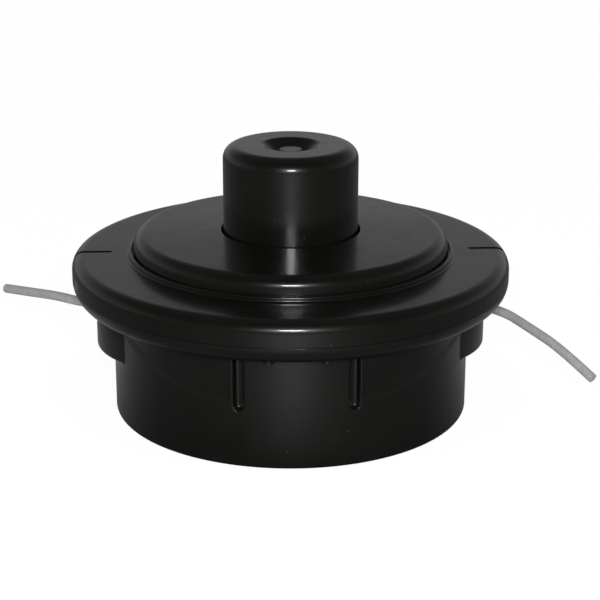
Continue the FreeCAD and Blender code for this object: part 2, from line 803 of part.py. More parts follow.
def build_spring():
    """Coil the compression spring between its two washers."""
    body = new_body("spring")
    wire = size.spring_wire / 2
    bottom = size.hub_height + size.washer_thickness
    top = web_under - size.thrust_washer_thickness
    section = new_sketch(body, "wire_section", "XZ_Plane")
    add_circle(section, size.spring_radius, bottom + wire, wire)
    coil = body.newObject("PartDesign::AdditiveHelix", "coil")
    coil.Profile = section
    coil.ReferenceAxis = (section, ["V_Axis"])
    coil.Mode = "height-turns-angle"
    coil.setExpression("Height", (top - bottom - size.spring_wire).text)
    coil.setExpression("Turns", size.spring_turns.text)
    keep("spring", body)


def build_eyelet(name, turn):
    """Turn a metal eyelet with a flange and two flared mouths, lying along a line exit."""
    body = new_body(name)
    inner_end = cup_inside - size.fit_gap * 2
    outer_end = lobe_reach - size.seat_gap
    flange = outer_end - size.eyelet_flange
    mouth = size.eyelet_bore + size.eyelet_flare
    turn_profile(
        body,
        name + "_blank",
        (
            (mouth, inner_end),
            (size.eyelet_radius, inner_end),
            (size.eyelet_radius, flange),
            (size.eyelet_flange_radius, flange),
            (size.eyelet_flange_radius, outer_end),
            (mouth, outer_end),
            (size.eyelet_bore, outer_end - size.eyelet_flare),
            (size.eyelet_bore, inner_end + size.eyelet_flare),
        ),
        rounds={5: size.eyelet_flare, 7: size.eyelet_flare},
    )
    body.Placement = FreeCAD.Placement(FreeCAD.Vector(), FreeCAD.Rotation(FreeCAD.Vector(0, 1, 0), turn))
    body.setExpression(".Placement.Base.z", size.eyelet_height.text)
    keep(name, body)


def build_winding(name, bottom):
    """Roll the line wound in one chamber, with the outer turns showing."""
    body = new_body(name)
    core = size.spool_core_radius
    turns = int((size.spool_chamber.value - size.run_gap.value) // size.line_diameter.value)
    base = bottom + (size.spool_chamber - size.line_diameter * turns) / 2
    outside = core + size.line_diameter * size.line_layers - line_radius
    points = [(core, base)]
    points += [(outside, base + size.line_diameter * number) for number in range(turns + 1)]
    points += [(core, base + size.line_diameter * turns)]
    bulges = {1 + number: line_radius for number in range(turns)}
    turn_profile(body, name + "_roll", tuple(points), rounds=bulges)
    keep(name, body)


def build_tail(name, route):
    """Draw one free line end as a tube along straight runs joined by tangent arcs."""
    points = [FreeCAD.Vector(*point) for point in route]
    edges = []
    at = points[0]
    for before, corner, after in zip(points, points[1:], points[2:]):
        back = before - corner
        ahead = after - corner
        half_turn = (math.pi - back.getAngle(ahead)) / 2
        reach = ARC_SHARE * min(back.Length, ahead.Length)
        bend = reach / math.tan(half_turn)
        back.normalize()
        ahead.normalize()
        first = corner + back * reach
        last = corner + ahead * reach
        inward = (back + ahead).normalize()
        middle = corner + inward * (bend / math.cos(half_turn) - bend)
        edges.append(Part.LineSegment(at, first).toShape())
        edges.append(Part.Arc(first, middle, last).toShape())
        at = last
        print(f"{name}: bend radius {bend:.1f} mm")
    edges.append(Part.LineSegment(at, points[-1]).toShape())
    path = Part.Wire(edges)
    length = path.Length
    circle = Part.Circle(points[0], points[1] - points[0], line_radius.value)
    section = Part.Wire([circle.toShape()])
    tube = path.makePipeShell([section], True, True)
    expected = math.pi * line_radius.value**2 * length
    print(f"{name}: length {length:.1f} mm, volume {tube.Volume:.1f} of {expected:.1f} mm3")
    tail = doc.addObject("Part::Feature", name)
    tail.Shape = tube
    keep(name, tail)


def check_document():
    """Stop if any object failed or any piece is not one valid solid."""
    doc.recompute()
    for item in doc.Objects:
        if "Invalid" in item.State or "Error" in item.State:
            raise RuntimeError(f"{item.Name} failed: {item.State}")
    for name, item in pieces.items():
        shape = item.Shape
        if shape.isNull() or not shape.isValid() or len(shape.Solids) != 1:
            raise RuntimeError(f"{name} is not one valid solid")
        print(f"{name}: {shape.Volume:.1f} mm3")


build_housing()
build_cover_rim()
build_cover_disc()
build_spool()
build_knob()
build_nut()
build_washer("lower_spring_washer", size.hub_height, size.washer_thickness, size.hub_radius - size.washer_gap)
build_washer(
    "thrust_washer",
    web_under - size.thrust_washer_thickness,
    size.thrust_washer_thickness,
    core_inside - size.washer_gap,
)
build_spring()
build_eyelet("right_eyelet", 90)
build_eyelet("left_eyelet", -90)
build_winding("lower_line_winding", lower_chamber)
build_winding("upper_line_winding", upper_chamber)
build_tail("right_line_tail", RIGHT_ROUTE)
build_tail("left_line_tail", LEFT_ROUTE)
check_document()
os.makedirs("parts", exist_ok=True)
for name, item in pieces.items():
    item.Shape.exportStep(f"parts/{name}.step")
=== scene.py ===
"""Looks of a bump feed trimmer head: glossy moulded shells, cutting line, metal inserts and studio light."""
from __future__ import annotations

import logging
import math
from dataclasses import dataclass
from enum import Enum
from typing import Callable, Iterable, Sequence

import bmesh
import bpy
from mathutils import Matrix, Vector

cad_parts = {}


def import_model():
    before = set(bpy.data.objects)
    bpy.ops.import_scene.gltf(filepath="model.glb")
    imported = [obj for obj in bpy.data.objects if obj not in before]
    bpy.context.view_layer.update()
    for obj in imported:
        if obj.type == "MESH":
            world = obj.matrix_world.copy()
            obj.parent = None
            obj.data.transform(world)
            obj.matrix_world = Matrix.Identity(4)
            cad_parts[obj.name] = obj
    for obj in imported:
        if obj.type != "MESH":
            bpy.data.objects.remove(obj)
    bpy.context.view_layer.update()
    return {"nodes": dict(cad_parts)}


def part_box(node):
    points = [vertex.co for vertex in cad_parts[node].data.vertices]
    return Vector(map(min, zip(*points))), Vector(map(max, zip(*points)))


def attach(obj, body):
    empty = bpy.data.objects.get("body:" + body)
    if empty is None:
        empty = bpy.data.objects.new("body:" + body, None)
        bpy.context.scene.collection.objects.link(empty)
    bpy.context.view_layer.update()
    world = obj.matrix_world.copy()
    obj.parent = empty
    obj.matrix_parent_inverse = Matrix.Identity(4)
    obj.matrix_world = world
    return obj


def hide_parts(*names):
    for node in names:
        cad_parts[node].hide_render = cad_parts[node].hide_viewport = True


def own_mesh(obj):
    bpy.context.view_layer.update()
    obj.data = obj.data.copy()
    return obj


logging.basicConfig(level=logging.INFO, format="%(message)s")
LOG = logging.getLogger("trimmer_head")

MM = 0.001
SMOOTH_ANGLE = math.radians(32.0)
MERGE_DISTANCE = 1e-5

Point = tuple[float, float]
Colour = tuple[float, float, float, float]

WHITE: Colour = (1.0, 1.0, 1.0, 1.0)


class Body(Enum):
    """Bodies of the mechanism that a piece can ride on."""

    HOUSING = "housing"
    SPOOL = "spool"


class Slot(Enum):
    """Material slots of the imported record."""

    MOULDED = "moulded_black"
    KNOB = "knob_black"
    STEEL = "plain_steel"
    NUT = "nut_steel"
    SPRING = "spring_steel"
    LINE = "line_nylon"


def add_object(name: str, data: bpy.types.ID) -> bpy.types.Object:
    """Put a new object in the scene.

    Args:
        name: Its name.
        data: Its mesh, curve, lamp or camera.

    Returns:
        The object.
    """
    made = bpy.data.objects.new(name, data)
    bpy.context.scene.collection.objects.link(made)
    return made


def stepped(low: float, high: float, count: int) -> list[float]:
    """Go from one value to another in even steps.

    Args:
        low: First value.
        high: Last value.
        count: Number of steps.

    Returns:
        The values, with both ends.
    """
    return [low + (high - low) * step / count for step in range(count + 1)]


def oblong(near: float, far: float, half: float) -> list[Point]:
    """Draw a block that lies along the X direction.

    Args:
        near: Its nearer end.
        far: Its farther end.
        half: Half its width.

    Returns:
        Corners, anticlockwise.
    """
    return [(near, -half), (far, -half), (far, half), (near, half)]


@dataclass(frozen=True)
class Corner:
    """A corner of an outline in millimetres, with the radius that rounds it."""

    r: float
    z: float
    round: float = 0.0


class Outline:
    """An outline in radius and height, whose rounded corners become fine arcs."""

    STEPS = 8
    GUARD = 0.12
    LONG_SIDE = 0.72
    ARC_SHARE = 0.98

    def __init__(self, corners: Sequence[Corner], closed: bool = True) -> None:
        """Keep the corners.

        Args:
            corners: Corners in order.
            closed: Whether the last corner joins the first.
        """
        self.corners = list(corners)
        self.closed = closed

    def points(self) -> list[Point]:
        """Work out the fine outline.

        Returns:
            Points in millimetres, with a guard point beside each arc to keep flat faces flat.
        """
        out: list[Point] = []
        count = len(self.corners)
        for number, corner in enumerate(self.corners):
            is_end = not self.closed and number in (0, count - 1)
            if is_end or corner.round <= 0.0:
                out.append((corner.r, corner.z))
            else:
                out.extend(self._arc(number))
        return self._guarded(out)

    def _arc(self, number: int) -> list[Point]:
        """Round one corner.

        Args:
            number: Place of the corner in the list.

        Returns:
            Points along the arc.
        """
        corner = self.corners[number]
        at = Vector((corner.r, corner.z))
        before = self.corners[number - 1]
        after = self.corners[(number + 1) % len(self.corners)]
        back = Vector((before.r, before.z)) - at
        ahead = Vector((after.r, after.z)) - at
        half = back.angle(ahead) / 2
        reach = corner.round / math.tan(half)
        reach = min(reach, back.length * self.ARC_SHARE, ahead.length * self.ARC_SHARE)
        radius = reach * math.tan(half)
        back.normalize()
        ahead.normalize()
        centre = at + (back + ahead).normalized() * (radius / math.sin(half))
        first = at + back * reach - centre
        last = at + ahead * reach - centre
        sweep = first.angle_signed(last)
        turned = []
        for step in range(self.STEPS + 1):
            arm = first.copy()
            arm.rotate(Matrix.Rotation(-sweep * step / self.STEPS, 2))
            turned.append((centre.x + arm.x, centre.y + arm.y))
        return turned

    def _guarded(self, points: list[Point]) -> list[Point]:
        """Add a point near both ends of each long straight side.

        Args:
            points: The fine outline.

        Returns:
            The outline with the guard points.
        """
        out: list[Point] = []
        count = len(points)
        for number, point in enumerate(points):
            out.append(point)
            if not self.closed and number == count - 1:
                break
            start = Vector(point)
            side = Vector(points[(number + 1) % count]) - start
            if side.length > self.LONG_SIDE:
                step = side.normalized() * self.GUARD
                near = start + step
                far = start + side - step
                out.append((near.x, near.y))
                out.append((far.x, far.y))
        return out


class Mesher:
    """Makes mesh objects from outlines, lofts and blocks, in metres."""

    @staticmethod
    def to_object(name: str, mesh: bmesh.types.BMesh) -> bpy.types.Object:
        """Turn a working mesh into an object with smooth faces and sharp creases.

        Args:
            name: Name of the piece.
            mesh: The working mesh, in millimetres, which is freed.

        Returns:
            The new object.
        """
        bmesh.ops.remove_doubles(mesh, verts=mesh.verts, dist=MERGE_DISTANCE)
        bmesh.ops.recalc_face_normals(mesh, faces=mesh.faces)
        bmesh.ops.scale(mesh, vec=Vector((MM, MM, MM)), verts=mesh.verts)
        data = bpy.data.meshes.new(name)
        mesh.to_mesh(data)
        mesh.free()
        piece = add_object(name, data)
        Mesher.shade(piece)
        return piece

    @staticmethod
    def shade(piece: bpy.types.Object) -> None:
        """Shade a piece smoothly, apart from its creases.

        Args:
            piece: A mesh object.
        """
        piece.data.shade_smooth()
        piece.data.set_sharp_from_angle(angle=SMOOTH_ANGLE)

    @staticmethod
    def loft(
        name: str,
        angles: Sequence[float],
        profile: Callable[[float], list[Point]],
        closed: bool,
    ) -> bpy.types.Object:
        """Skin a profile that may change as it goes round the Z axis.

        Args:
            name: Name of the piece.
            angles: Directions of the columns in radians, in order, over one full turn.
            profile: Gives the points in radius and height, equally many at each angle.
            closed: Whether the profile is a loop.

        Returns:
            The new object.
        """
        mesh = bmesh.new()
        grid = []
        for angle in angles:
            cosine, sine = math.cos(angle), math.sin(angle)
            grid.append([mesh.verts.new((r * cosine, r * sine, z)) for r, z in profile(angle)])
        rows = len(grid[0])
        for number, column in enumerate(grid):
            beside = grid[(number + 1) % len(grid)]
            for row in range(rows if closed else rows - 1):
                up = (row + 1) % rows
                corners = [column[row], beside[row], beside[up], column[up]]
                mesh.faces.new(corners)
        return Mesher.to_object(name, mesh)

    @classmethod
    def turn(cls, name: str, outline: Outline, columns: int) -> bpy.types.Object:
        """Turn one outline round the Z axis.

        Args:
            name: Name of the piece.
            outline: Its section.
            columns: Steps in one turn.

        Returns:
            The new object.
        """
        points = outline.points()
        angles = [2 * math.pi * step / columns for step in range(columns)]
        return cls.loft(name, angles, lambda _angle: points, outline.closed)

    @staticmethod
    def add_prism(
        mesh: bmesh.types.BMesh, corners: Sequence[Point], bottom: float, top: float, place: Matrix
    ) -> None:
        """Add a block to a working mesh.

        Args:
            mesh: The working mesh.
            corners: Outline in X and Y.
            bottom: Height of its lower face.
            top: Height of its upper face.
            place: Turn and shift, in millimetres.
        """
        low = [mesh.verts.new(place @ Vector((x, y, bottom))) for x, y in corners]
        high = [mesh.verts.new(place @ Vector((x, y, top))) for x, y in corners]
        mesh.faces.new(list(reversed(low)))
        mesh.faces.new(high)
        count = len(corners)
        for number in range(count):
            beside = (number + 1) % count
            mesh.faces.new([low[number], low[beside], high[beside], high[number]])

    @classmethod
    def ring_of_blocks(
        cls, name: str, corners: Sequence[Point], bottom: float, top: float, turns: Iterable[float]
    ) -> bpy.types.Object:
        """Make the same block at several angles, as one object.

        Args:
            name: Name of the object.
            corners: Outline of a block in X and Y.
            bottom: Height of its lower face.
            top: Height of its upper face.
            turns: Angles about Z in degrees.

        Returns:
            The new object.
        """
        mesh = bmesh.new()
        for turn in turns:
            cls.add_prism(mesh, corners, bottom, top, Matrix.Rotation(math.radians(turn), 4, "Z"))
        return cls.to_object(name, mesh)

    @classmethod
    def combine(cls, piece: bpy.types.Object, tool: bpy.types.Object, operation: str) -> None:
        """Add a tool to a piece or cut it away, and drop the tool.

        Args:
            piece: The mesh that is changed.
            tool: The mesh that is used up.
            operation: UNION or DIFFERENCE.
        """
        modifier = piece.modifiers.new("shape", "BOOLEAN")
        modifier.operation = operation
        modifier.solver = "EXACT"
        modifier.object = tool
        graph = bpy.context.evaluated_depsgraph_get()
        data = bpy.data.meshes.new_from_object(piece.evaluated_get(graph))
        piece.modifiers.clear()
        old = piece.data
        piece.data = data
        data.name = old.name
        bpy.data.meshes.remove(old)
        bpy.data.objects.remove(tool)
        cls.shade(piece)


def sector(inner: float, outer: float, half_angle: float, steps: int = 6) -> list[Point]:
    """Draw a curved block between two radii, about the X direction.

    Args:
        inner: Inner radius.
        outer: Outer radius.
        half_angle: Half its span in degrees.
        steps: Sides of each arc.

    Returns:
        Corners, anticlockwise.
    """
    turns = [math.radians(half_angle * (2 * step / steps - 1)) for step in range(steps + 1)]
    outside = [(outer * math.cos(turn), outer * math.sin(turn)) for turn in turns]
    inside = [(inner * math.cos(turn), inner * math.sin(turn)) for turn in reversed(turns)]
    return outside + inside


def ease(low: float, high: float, value: float) -> float:
    """Rise smoothly from 0 to 1.

    Args:
        low: Value at which the rise starts.
        high: Value at which it ends.
        value: The value looked at.

    Returns:
        A share from 0 to 1.
    """
    share = min(max((value - low) / (high - low), 0.0), 1.0)
    return share * share * (3 - 2 * share)


def circle(radius: float, sides: int) -> list[Point]:
    """Draw a circle as a fine polygon.

    Args:
        radius: Its radius.
        sides: Its sides.

    Returns:
        Corners, anticlockwise.
    """
    turns = [2 * math.pi * step / sides for step in range(sides)]
    return [(radius * math.cos(turn), radius * math.sin(turn)) for turn in turns]


@dataclass(frozen=True)
class DogRing:
    """The index dogs, alike on the deck, the disc and the spool."""

    count: int = 12
    inner: float = 24.0
    outer: float = 30.0
    half_angle: float = 4.5
    height: float = 2.5

    def corners(self) -> list[Point]:
        """Draw one dog.

        Returns:
            Its outline in X and Y.
        """
        return sector(self.inner, self.outer, self.half_angle)


DOGS = DogRing()


@dataclass(frozen=True)
class HeadSizes:
    """Sizes that several pieces share, in millimetres."""

    rim_radius: float
    rim_top: float
    disc_radius: float
    disc_top: float
    knob_radius: float
    knob_top: float
    knob_bottom: float
    post_top: float
    cup_radius: float = 45.0
    cup_wall: float = 2.5
    lip_bottom: float = 29.2
    lip_thickness: float = 4.8
    rim_round: float = 5.5
    rim_shoulder: float = 3.0
    rim_wall: float = 2.5
    parting_gap: float = 0.1
    parting_edge: float = 0.08
    fit: float = 0.3
    eyelet_height: float = 25.6
    collar_height: float = 1.2

    @classmethod
    def from_frame(cls) -> HeadSizes:
        """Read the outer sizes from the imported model.

        Returns:
            The sizes of this head.
        """
        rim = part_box("cover_rim")[1] / MM
        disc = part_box("cover_disc")[1] / MM
        knob_low, knob = (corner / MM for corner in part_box("bump_knob"))
        return cls(
            rim_radius=rim.y,
            rim_top=rim.z - cls.collar_height,
            disc_radius=disc.x,
            disc_top=disc.z,
            knob_radius=knob.x,
            knob_top=knob.z,
            knob_bottom=knob_low.z,
            post_top=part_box("housing")[1].z / MM,
        )

    @property
    def lip_top(self) -> float:
        """Upper face of the cup's lip."""
        return self.lip_bottom + self.lip_thickness

    @property
    def plate_under(self) -> float:
        """Lower face of the flange's plate."""
        return self.rim_top - self.rim_wall

    @property
    def round_centre(self) -> Point:
        """Centre of the rounding that the lip and the flange share."""
        return self.rim_radius - self.rim_round, self.lip_bottom + self.rim_round

    def rounding(self, low: float, high: float, steps: int = 9) -> list[Corner]:
        """Follow the shared rounding between two heights.

        Args:
            low: Lower height.
            high: Upper height.
            steps: Sides of the arc.

        Returns:
            Corners along it, from the bottom up.
        """
        centre_r, centre_z = self.round_centre
        start = math.asin(max((low - centre_z) / self.rim_round, -1.0))
        end = math.asin(min((high - centre_z) / self.rim_round, 0.0))
        turns = stepped(start, end, steps)
        return [
            Corner(centre_r + self.rim_round * math.cos(turn), centre_z + self.rim_round * math.sin(turn))
            for turn in turns
        ]


@dataclass
class Housing:
    """The moulded cup with its lip, line lobes, press tongues and hub."""

    TONGUES = (90.0, 270.0)
    QUARTER = 90.0
    NEAR_STEPS = (0.02, 0.1, 0.2, 0.32, 0.46)
    LOBE_STEP = 0.5
    LOBE_STEPS = 46
    GROOVE_STEP = 0.3
    GROOVE_STEPS = 4
    GROOVE_POWER = 3
    LOWER_ROWS = 4
    WALL_ROWS = 18
    UPPER_ROWS = 5
    LEDGE_ROWS = ((0.0, -0.12), (0.03, 0.0), (0.1, 0.1), (0.5, 0.5), (0.9, 0.9), (0.97, 1.0), (1.0, 1.12))
    NUT_SIDES = 6
    BORE_SIDES = 64
    STOP_SIDES = 40

    sizes: HeadSizes
    edge: float = 0.8
    edge_guard: float = 2.4
    wall_start: float = 3.2
    small_edge: float = 0.4
    deck_edge: float = 0.6
    hub_edge: float = 0.5
    post_edge: float = 0.8
    seat_edge: float = 0.2
    bury: float = 0.5
    cut_over: float = 1.0
    deck: tuple[float, float] = (2.5, 5.5)
    hub_radius: float = 13.0
    hub_top: float = 11.5
    post_radius: float = 8.5
    relief_radius: float = 41.5
    rib_half: float = 0.8
    rib_count: int = 12
    rib_lift: float = 0.05
    dog_bury: float = 0.4
    nut_flats: float = 17.1
    nut_top: float = 8.8
    spindle_radius: float = 5.2
    spindle_top: float = 12.0
    lobe_offset: float = 26.4
    lobe_radius: float = 23.0
    lobe_bottom: float = 16.4
    lobe_edge: float = 0.8
    foot_drop: float = 5.0
    foot_span: tuple[float, float] = (35.0, 60.0)
    foot_gap: float = 0.3
    foot_crease: tuple[float, float] = (0.15, 0.02)
    exit_bore: float = 3.25
    exit_depth: float = 5.0
    seat_bore: float = 4.25
    seat_depth: float = 1.35
    exit_over: float = 2.0
    slot_angle: float = 17.7
    slot_half: float = 1.3
    slot_bottom: float = 14.2
    slot_depth: float = 1.8
    slot_edge: float = 0.35
    slot_over: float = 0.1
    slot_reach: float = 5.5
    slot_rise: float = 0.2
    wing_depth: float = 0.42
    wing_bottom: float = 16.2
    wing_rise: float = 8.2
    wing_start: float = 21.0
    wing_bend: float = 29.0
    wing_end: float = 67.4
    wing_fade: float = 0.4
    wing_close: float = 0.5
    ledge_slope: float = 1.0
    ledge_edge: float = 0.25
    ledge_soft: float = 0.12
    ledge_over: float = 1.3
    ledge_guard: float = 0.2
    hook: tuple[float, float] = (35.2, 36.9)
    hook_bury: float = 1.0
    hook_reach: float = 2.0
    hook_half: float = 13.0
    stop_radius: float = 1.35
    stop_across: float = 6.7
    stop_out: float = 48.7
    stop_drop: float = 0.75
    stop_bury: float = 1.0

    def build(self) -> bpy.types.Object:
        """Mould the cup.

        Returns:
            The finished mesh.
        """
        piece = Mesher.loft("cup_housing", self._angles(), self._profile, closed=False)
        Mesher.combine(piece, self._added(), "UNION")
        Mesher.combine(piece, self._cutters(), "DIFFERENCE")
        Mesher.combine(piece, self._spindle_cutter(), "DIFFERENCE")
        return piece

    def _angles(self) -> list[float]:
        """Choose the columns: even steps, with more beside each slot and wing end.

        Returns:
            Directions in radians, in order.
        """
        slot_turn = math.degrees(self.slot_half / self.sizes.cup_radius)
        slot_edges = [self.slot_angle + slot_turn, self.slot_angle - slot_turn]
        places = {float(step) for step in range(round(self.QUARTER) + 1)}
        for edge in slot_edges + [self.wing_start, self.wing_end]:
            places |= {edge + side * step for step in self.NEAR_STEPS for side in (1, -1)}
        places |= {self.wing_end + self.LOBE_STEP * step for step in range(self.LOBE_STEPS)}
        around = range(-self.GROOVE_STEPS, self.GROOVE_STEPS + 1)
        places |= {self.slot_angle + self.GROOVE_STEP * step for step in around}
        places = {min(max(place, 0.0), self.QUARTER) for place in places}
        turns = set()
        for place in places:
            for tongue in self.TONGUES:
                turns |= {round((tongue + place) % 360.0, 4), round((tongue - place) % 360.0, 4)}
        return [math.radians(turn) for turn in sorted(turns)]

    def _lobe_reach(self, away: float) -> float:
        """Radius of the lobe in plan.

        Args:
            away: Angle from the nearest tongue in degrees.

        Returns:
            Its radius there, or the cup's where there is no lobe.
        """
        turn = math.radians(self.QUARTER - away)
        under = self.lobe_radius**2 - (self.lobe_offset * math.sin(turn)) ** 2
        if under <= 0.0:
            return self.sizes.cup_radius
        return max(self.lobe_offset * math.cos(turn) + math.sqrt(under), self.sizes.cup_radius)

    def _ledge(self, away: float) -> float:
        """Height of a wing's ledge.

        Args:
            away: Angle from the nearest tongue in degrees.

        Returns:
            The height.
        """
        share = max(away - self.wing_bend, 0.0) / (self.wing_end - self.wing_bend)
        share = min(share, 1.0)
        soft = self.ledge_soft
        rise = math.sqrt(share * share + soft * soft) - soft
        return self.wing_bottom + self.wing_rise * rise / (math.sqrt(1 + soft * soft) - soft)

    def _profile(self, angle: float) -> list[Point]:
        """Section of the cup in one direction.

        Args:
            angle: Direction in radians.

        Returns:
            Points from the arbor side's middle, round the outside and back to the post's top.
        """
        degrees = math.degrees(angle)
        away = min(abs((degrees - tongue + 180.0) % 360.0 - 180.0) for tongue in self.TONGUES)
        return self._lower() + self._wall(away) + self._upper()

    def _lower(self) -> list[Point]:
        """Draw the underside, from the axis to the foot of the wall.

        Returns:
            Points along it.
        """
        radius = self.sizes.cup_radius
        corners = (
            Corner(0.0, 0.0),
            Corner(self.hub_radius, 0.0, self.small_edge),
            Corner(self.hub_radius, self.deck[0], self.small_edge),
            Corner(self.relief_radius, self.deck[0], self.small_edge),
            Corner(self.relief_radius, 0.0, self.small_edge),
            Corner(radius, 0.0, self.edge),
            Corner(radius, self.edge_guard),
        )
        return Outline(corners, closed=False).points()

    def _wall(self, away: float) -> list[Point]:
        """Outside of the wall, with the lobe, the wing and the slots' rounded edges.

        Args:
            away: Angle from the nearest tongue in degrees.

        Returns:
            Points from the foot of the wall to the lip.
        """
        radius = self.sizes.cup_radius
        full = self._lobe_reach(away)
        step_out = full - radius
        foot = self.lobe_bottom - self.foot_drop * (1.0 - ease(*self.foot_span, away))
        bend = min(step_out, self.lobe_edge)
        ledge = self._ledge(away)
        fade = self.wing_fade
        depth = self.wing_depth * ease(self.wing_start - fade, self.wing_start + fade, away)
        depth *= 1.0 - ease(self.wing_end - self.wing_close, self.wing_end, away)
        crease_out, crease_drop = self.foot_crease
        heights = stepped(self.wall_start, foot - self.foot_gap, self.LOWER_ROWS)
        rows = [(radius, height) for height in heights]
        rows.append((radius + min(crease_out, step_out / 2), foot - crease_drop))
        for step in range(Outline.STEPS + 1):
            turn = math.radians(self.QUARTER * (step / Outline.STEPS - 1.0))
            out = full - bend * (1.0 - math.cos(turn))
            rows.append((out, foot + self.lobe_edge * (1.0 + math.sin(turn))))
        heights = stepped(foot + self.lobe_edge, ledge - self.ledge_edge, self.WALL_ROWS)
        rows += [(full, height) for height in heights[1:]]
        rows += [(full - depth * share, ledge + self.ledge_slope * lift) for share, lift in self.LEDGE_ROWS]
        low = ledge + self.ledge_over * self.ledge_slope + self.ledge_guard
        heights = stepped(low, self.sizes.lip_bottom, self.UPPER_ROWS)
        rows += [(full - depth, height) for height in heights]
        return [(r - self._groove(away, z), z) for r, z in rows]

    def _groove(self, away: float, height: float) -> float:
        """Depth of the grooves beside a tongue, with their rounded shoulders.

        Args:
            away: Angle from the nearest tongue in degrees.
            height: Height on the wall.

        Returns:
            How far the wall draws back there.
        """
        along = math.radians(abs(away - self.slot_angle)) * self.sizes.cup_radius
        below = max(self.slot_bottom + self.slot_half - height, 0.0)
        gap = math.hypot(along, below) - self.slot_half
        if gap >= self.slot_edge:
            return 0.0
        if gap > 0.0:
            inside = 1.0 - gap / self.slot_edge
            return self.slot_edge * (1.0 - math.sqrt(1.0 - inside * inside))
        left = 1.0 + gap / self.slot_half
        floor = (1.0 - left**self.GROOVE_POWER) ** (1.0 / self.GROOVE_POWER)
        return self.slot_edge + (self.slot_depth - self.slot_edge) * floor

    def _upper(self) -> list[Point]:
        """Draw the lip, spigot, cavity, hub and post, to the axis.

        Returns:
            Points along them.
        """
        sizes = self.sizes
        inside = sizes.cup_radius - sizes.cup_wall
        spigot_top = sizes.plate_under - sizes.fit
        corners = sizes.rounding(sizes.lip_bottom, sizes.lip_top)
        corners[-1] = Corner(corners[-1].r, corners[-1].z, sizes.parting_edge)
        corners += [
            Corner(sizes.cup_radius, sizes.lip_top, self.seat_edge),
            Corner(sizes.cup_radius, spigot_top, self.small_edge),
            Corner(inside, spigot_top, self.small_edge),
            Corner(inside, self.deck[1], self.deck_edge),
            Corner(self.hub_radius, self.deck[1], self.hub_edge),
            Corner(self.hub_radius, self.hub_top, self.small_edge),
            Corner(self.post_radius, self.hub_top, self.small_edge),
            Corner(self.post_radius, sizes.post_top, self.post_edge),
            Corner(0.0, sizes.post_top),
        ]
        return Outline(corners, closed=False).points()

    def _added(self) -> bpy.types.Object:
        """Make the ribs, deck dogs, latch hooks and the small stops under the lip.

        Returns:
            One mesh to add.
        """
        sizes = self.sizes
        mesh = bmesh.new()
        rib = oblong(self.hub_radius - self.bury, self.relief_radius + self.bury, self.rib_half)
        for number in range(self.rib_count):
            turn = Matrix.Rotation(2 * math.pi * number / self.rib_count, 4, "Z")
            Mesher.add_prism(mesh, rib, self.rib_lift, self.deck[0] + self.bury, turn)
        for number in range(DOGS.count):
            turn = Matrix.Rotation(2 * math.pi * number / DOGS.count, 4, "Z")
            low, high = self.deck[1] - self.dog_bury, self.deck[1] + DOGS.height
            Mesher.add_prism(mesh, DOGS.corners(), low, high, turn)
        hook = sector(sizes.cup_radius - self.hook_bury, sizes.cup_radius + self.hook_reach, self.hook_half)
        stop_low, stop_high = sizes.lip_bottom - self.stop_drop, sizes.lip_bottom + self.stop_bury
        for turn in self.TONGUES:
            facing = Matrix.Rotation(math.radians(turn), 4, "Z")
            Mesher.add_prism(mesh, hook, *self.hook, facing)
            for across in (self.stop_across, -self.stop_across):
                ring = circle(self.stop_radius, self.STOP_SIDES)
                stop = [(x + self.stop_out, y + across) for x, y in ring]
                Mesher.add_prism(mesh, stop, stop_low, stop_high, facing)
        return Mesher.to_object("cup_added", mesh)

    def _cutters(self) -> bpy.types.Object:
        """Make the cutters of the slots behind the lip and the nut's seat.

        Returns:
            One mesh to cut with.
        """
        sizes = self.sizes
        mesh = bmesh.new()
        upright = Matrix.Rotation(math.radians(self.QUARTER), 4, "X")
        middle = sizes.cup_radius * math.sin(math.radians(self.slot_angle))
        reach = math.sqrt(sizes.cup_radius**2 - (middle - self.slot_half) ** 2) + self.slot_over
        inner = reach - self.slot_reach
        top = sizes.plate_under + self.slot_rise
        bottom = sizes.lip_bottom + self.slot_rise
        for side in (1, -1):
            left, right = side * middle - self.slot_half, side * middle + self.slot_half
            outline = [(right, top), (left, top), (left, bottom), (right, bottom)]
            for low, high in ((inner, reach), (-reach, -inner)):
                Mesher.add_prism(mesh, outline, low, high, upright)
        hexagon = self.nut_flats / math.sqrt(3.0)
        seat = circle(hexagon, self.NUT_SIDES)
        Mesher.add_prism(mesh, seat, -self.cut_over, self.nut_top, Matrix.Identity(4))
        return Mesher.to_object("cup_cutters", mesh)

    def _spindle_cutter(self) -> bpy.types.Object:
        """Make the cutters of the run-out above the nut and the stepped bores of the two line exits.

        Returns:
            One mesh to cut with.
        """
        sizes = self.sizes
        mesh = bmesh.new()
        run_out = circle(self.spindle_radius, self.BORE_SIDES)
        Mesher.add_prism(mesh, run_out, self.nut_top - self.bury, self.spindle_top, Matrix.Identity(4))
        reach = self.lobe_offset + self.lobe_radius
        seat = reach - self.seat_depth
        bore, wide = (circle(radius, self.BORE_SIDES) for radius in (self.exit_bore, self.seat_bore))
        rise = Matrix.Translation((0.0, 0.0, sizes.eyelet_height))
        for turn in (self.QUARTER, -self.QUARTER):
            place = rise @ Matrix.Rotation(math.radians(turn), 4, "Y")
            Mesher.add_prism(mesh, bore, sizes.cup_radius - self.exit_depth, seat, place)
            Mesher.add_prism(mesh, wide, seat, reach + self.exit_over, place)
        return Mesher.to_object("line_exit_cutters", mesh)


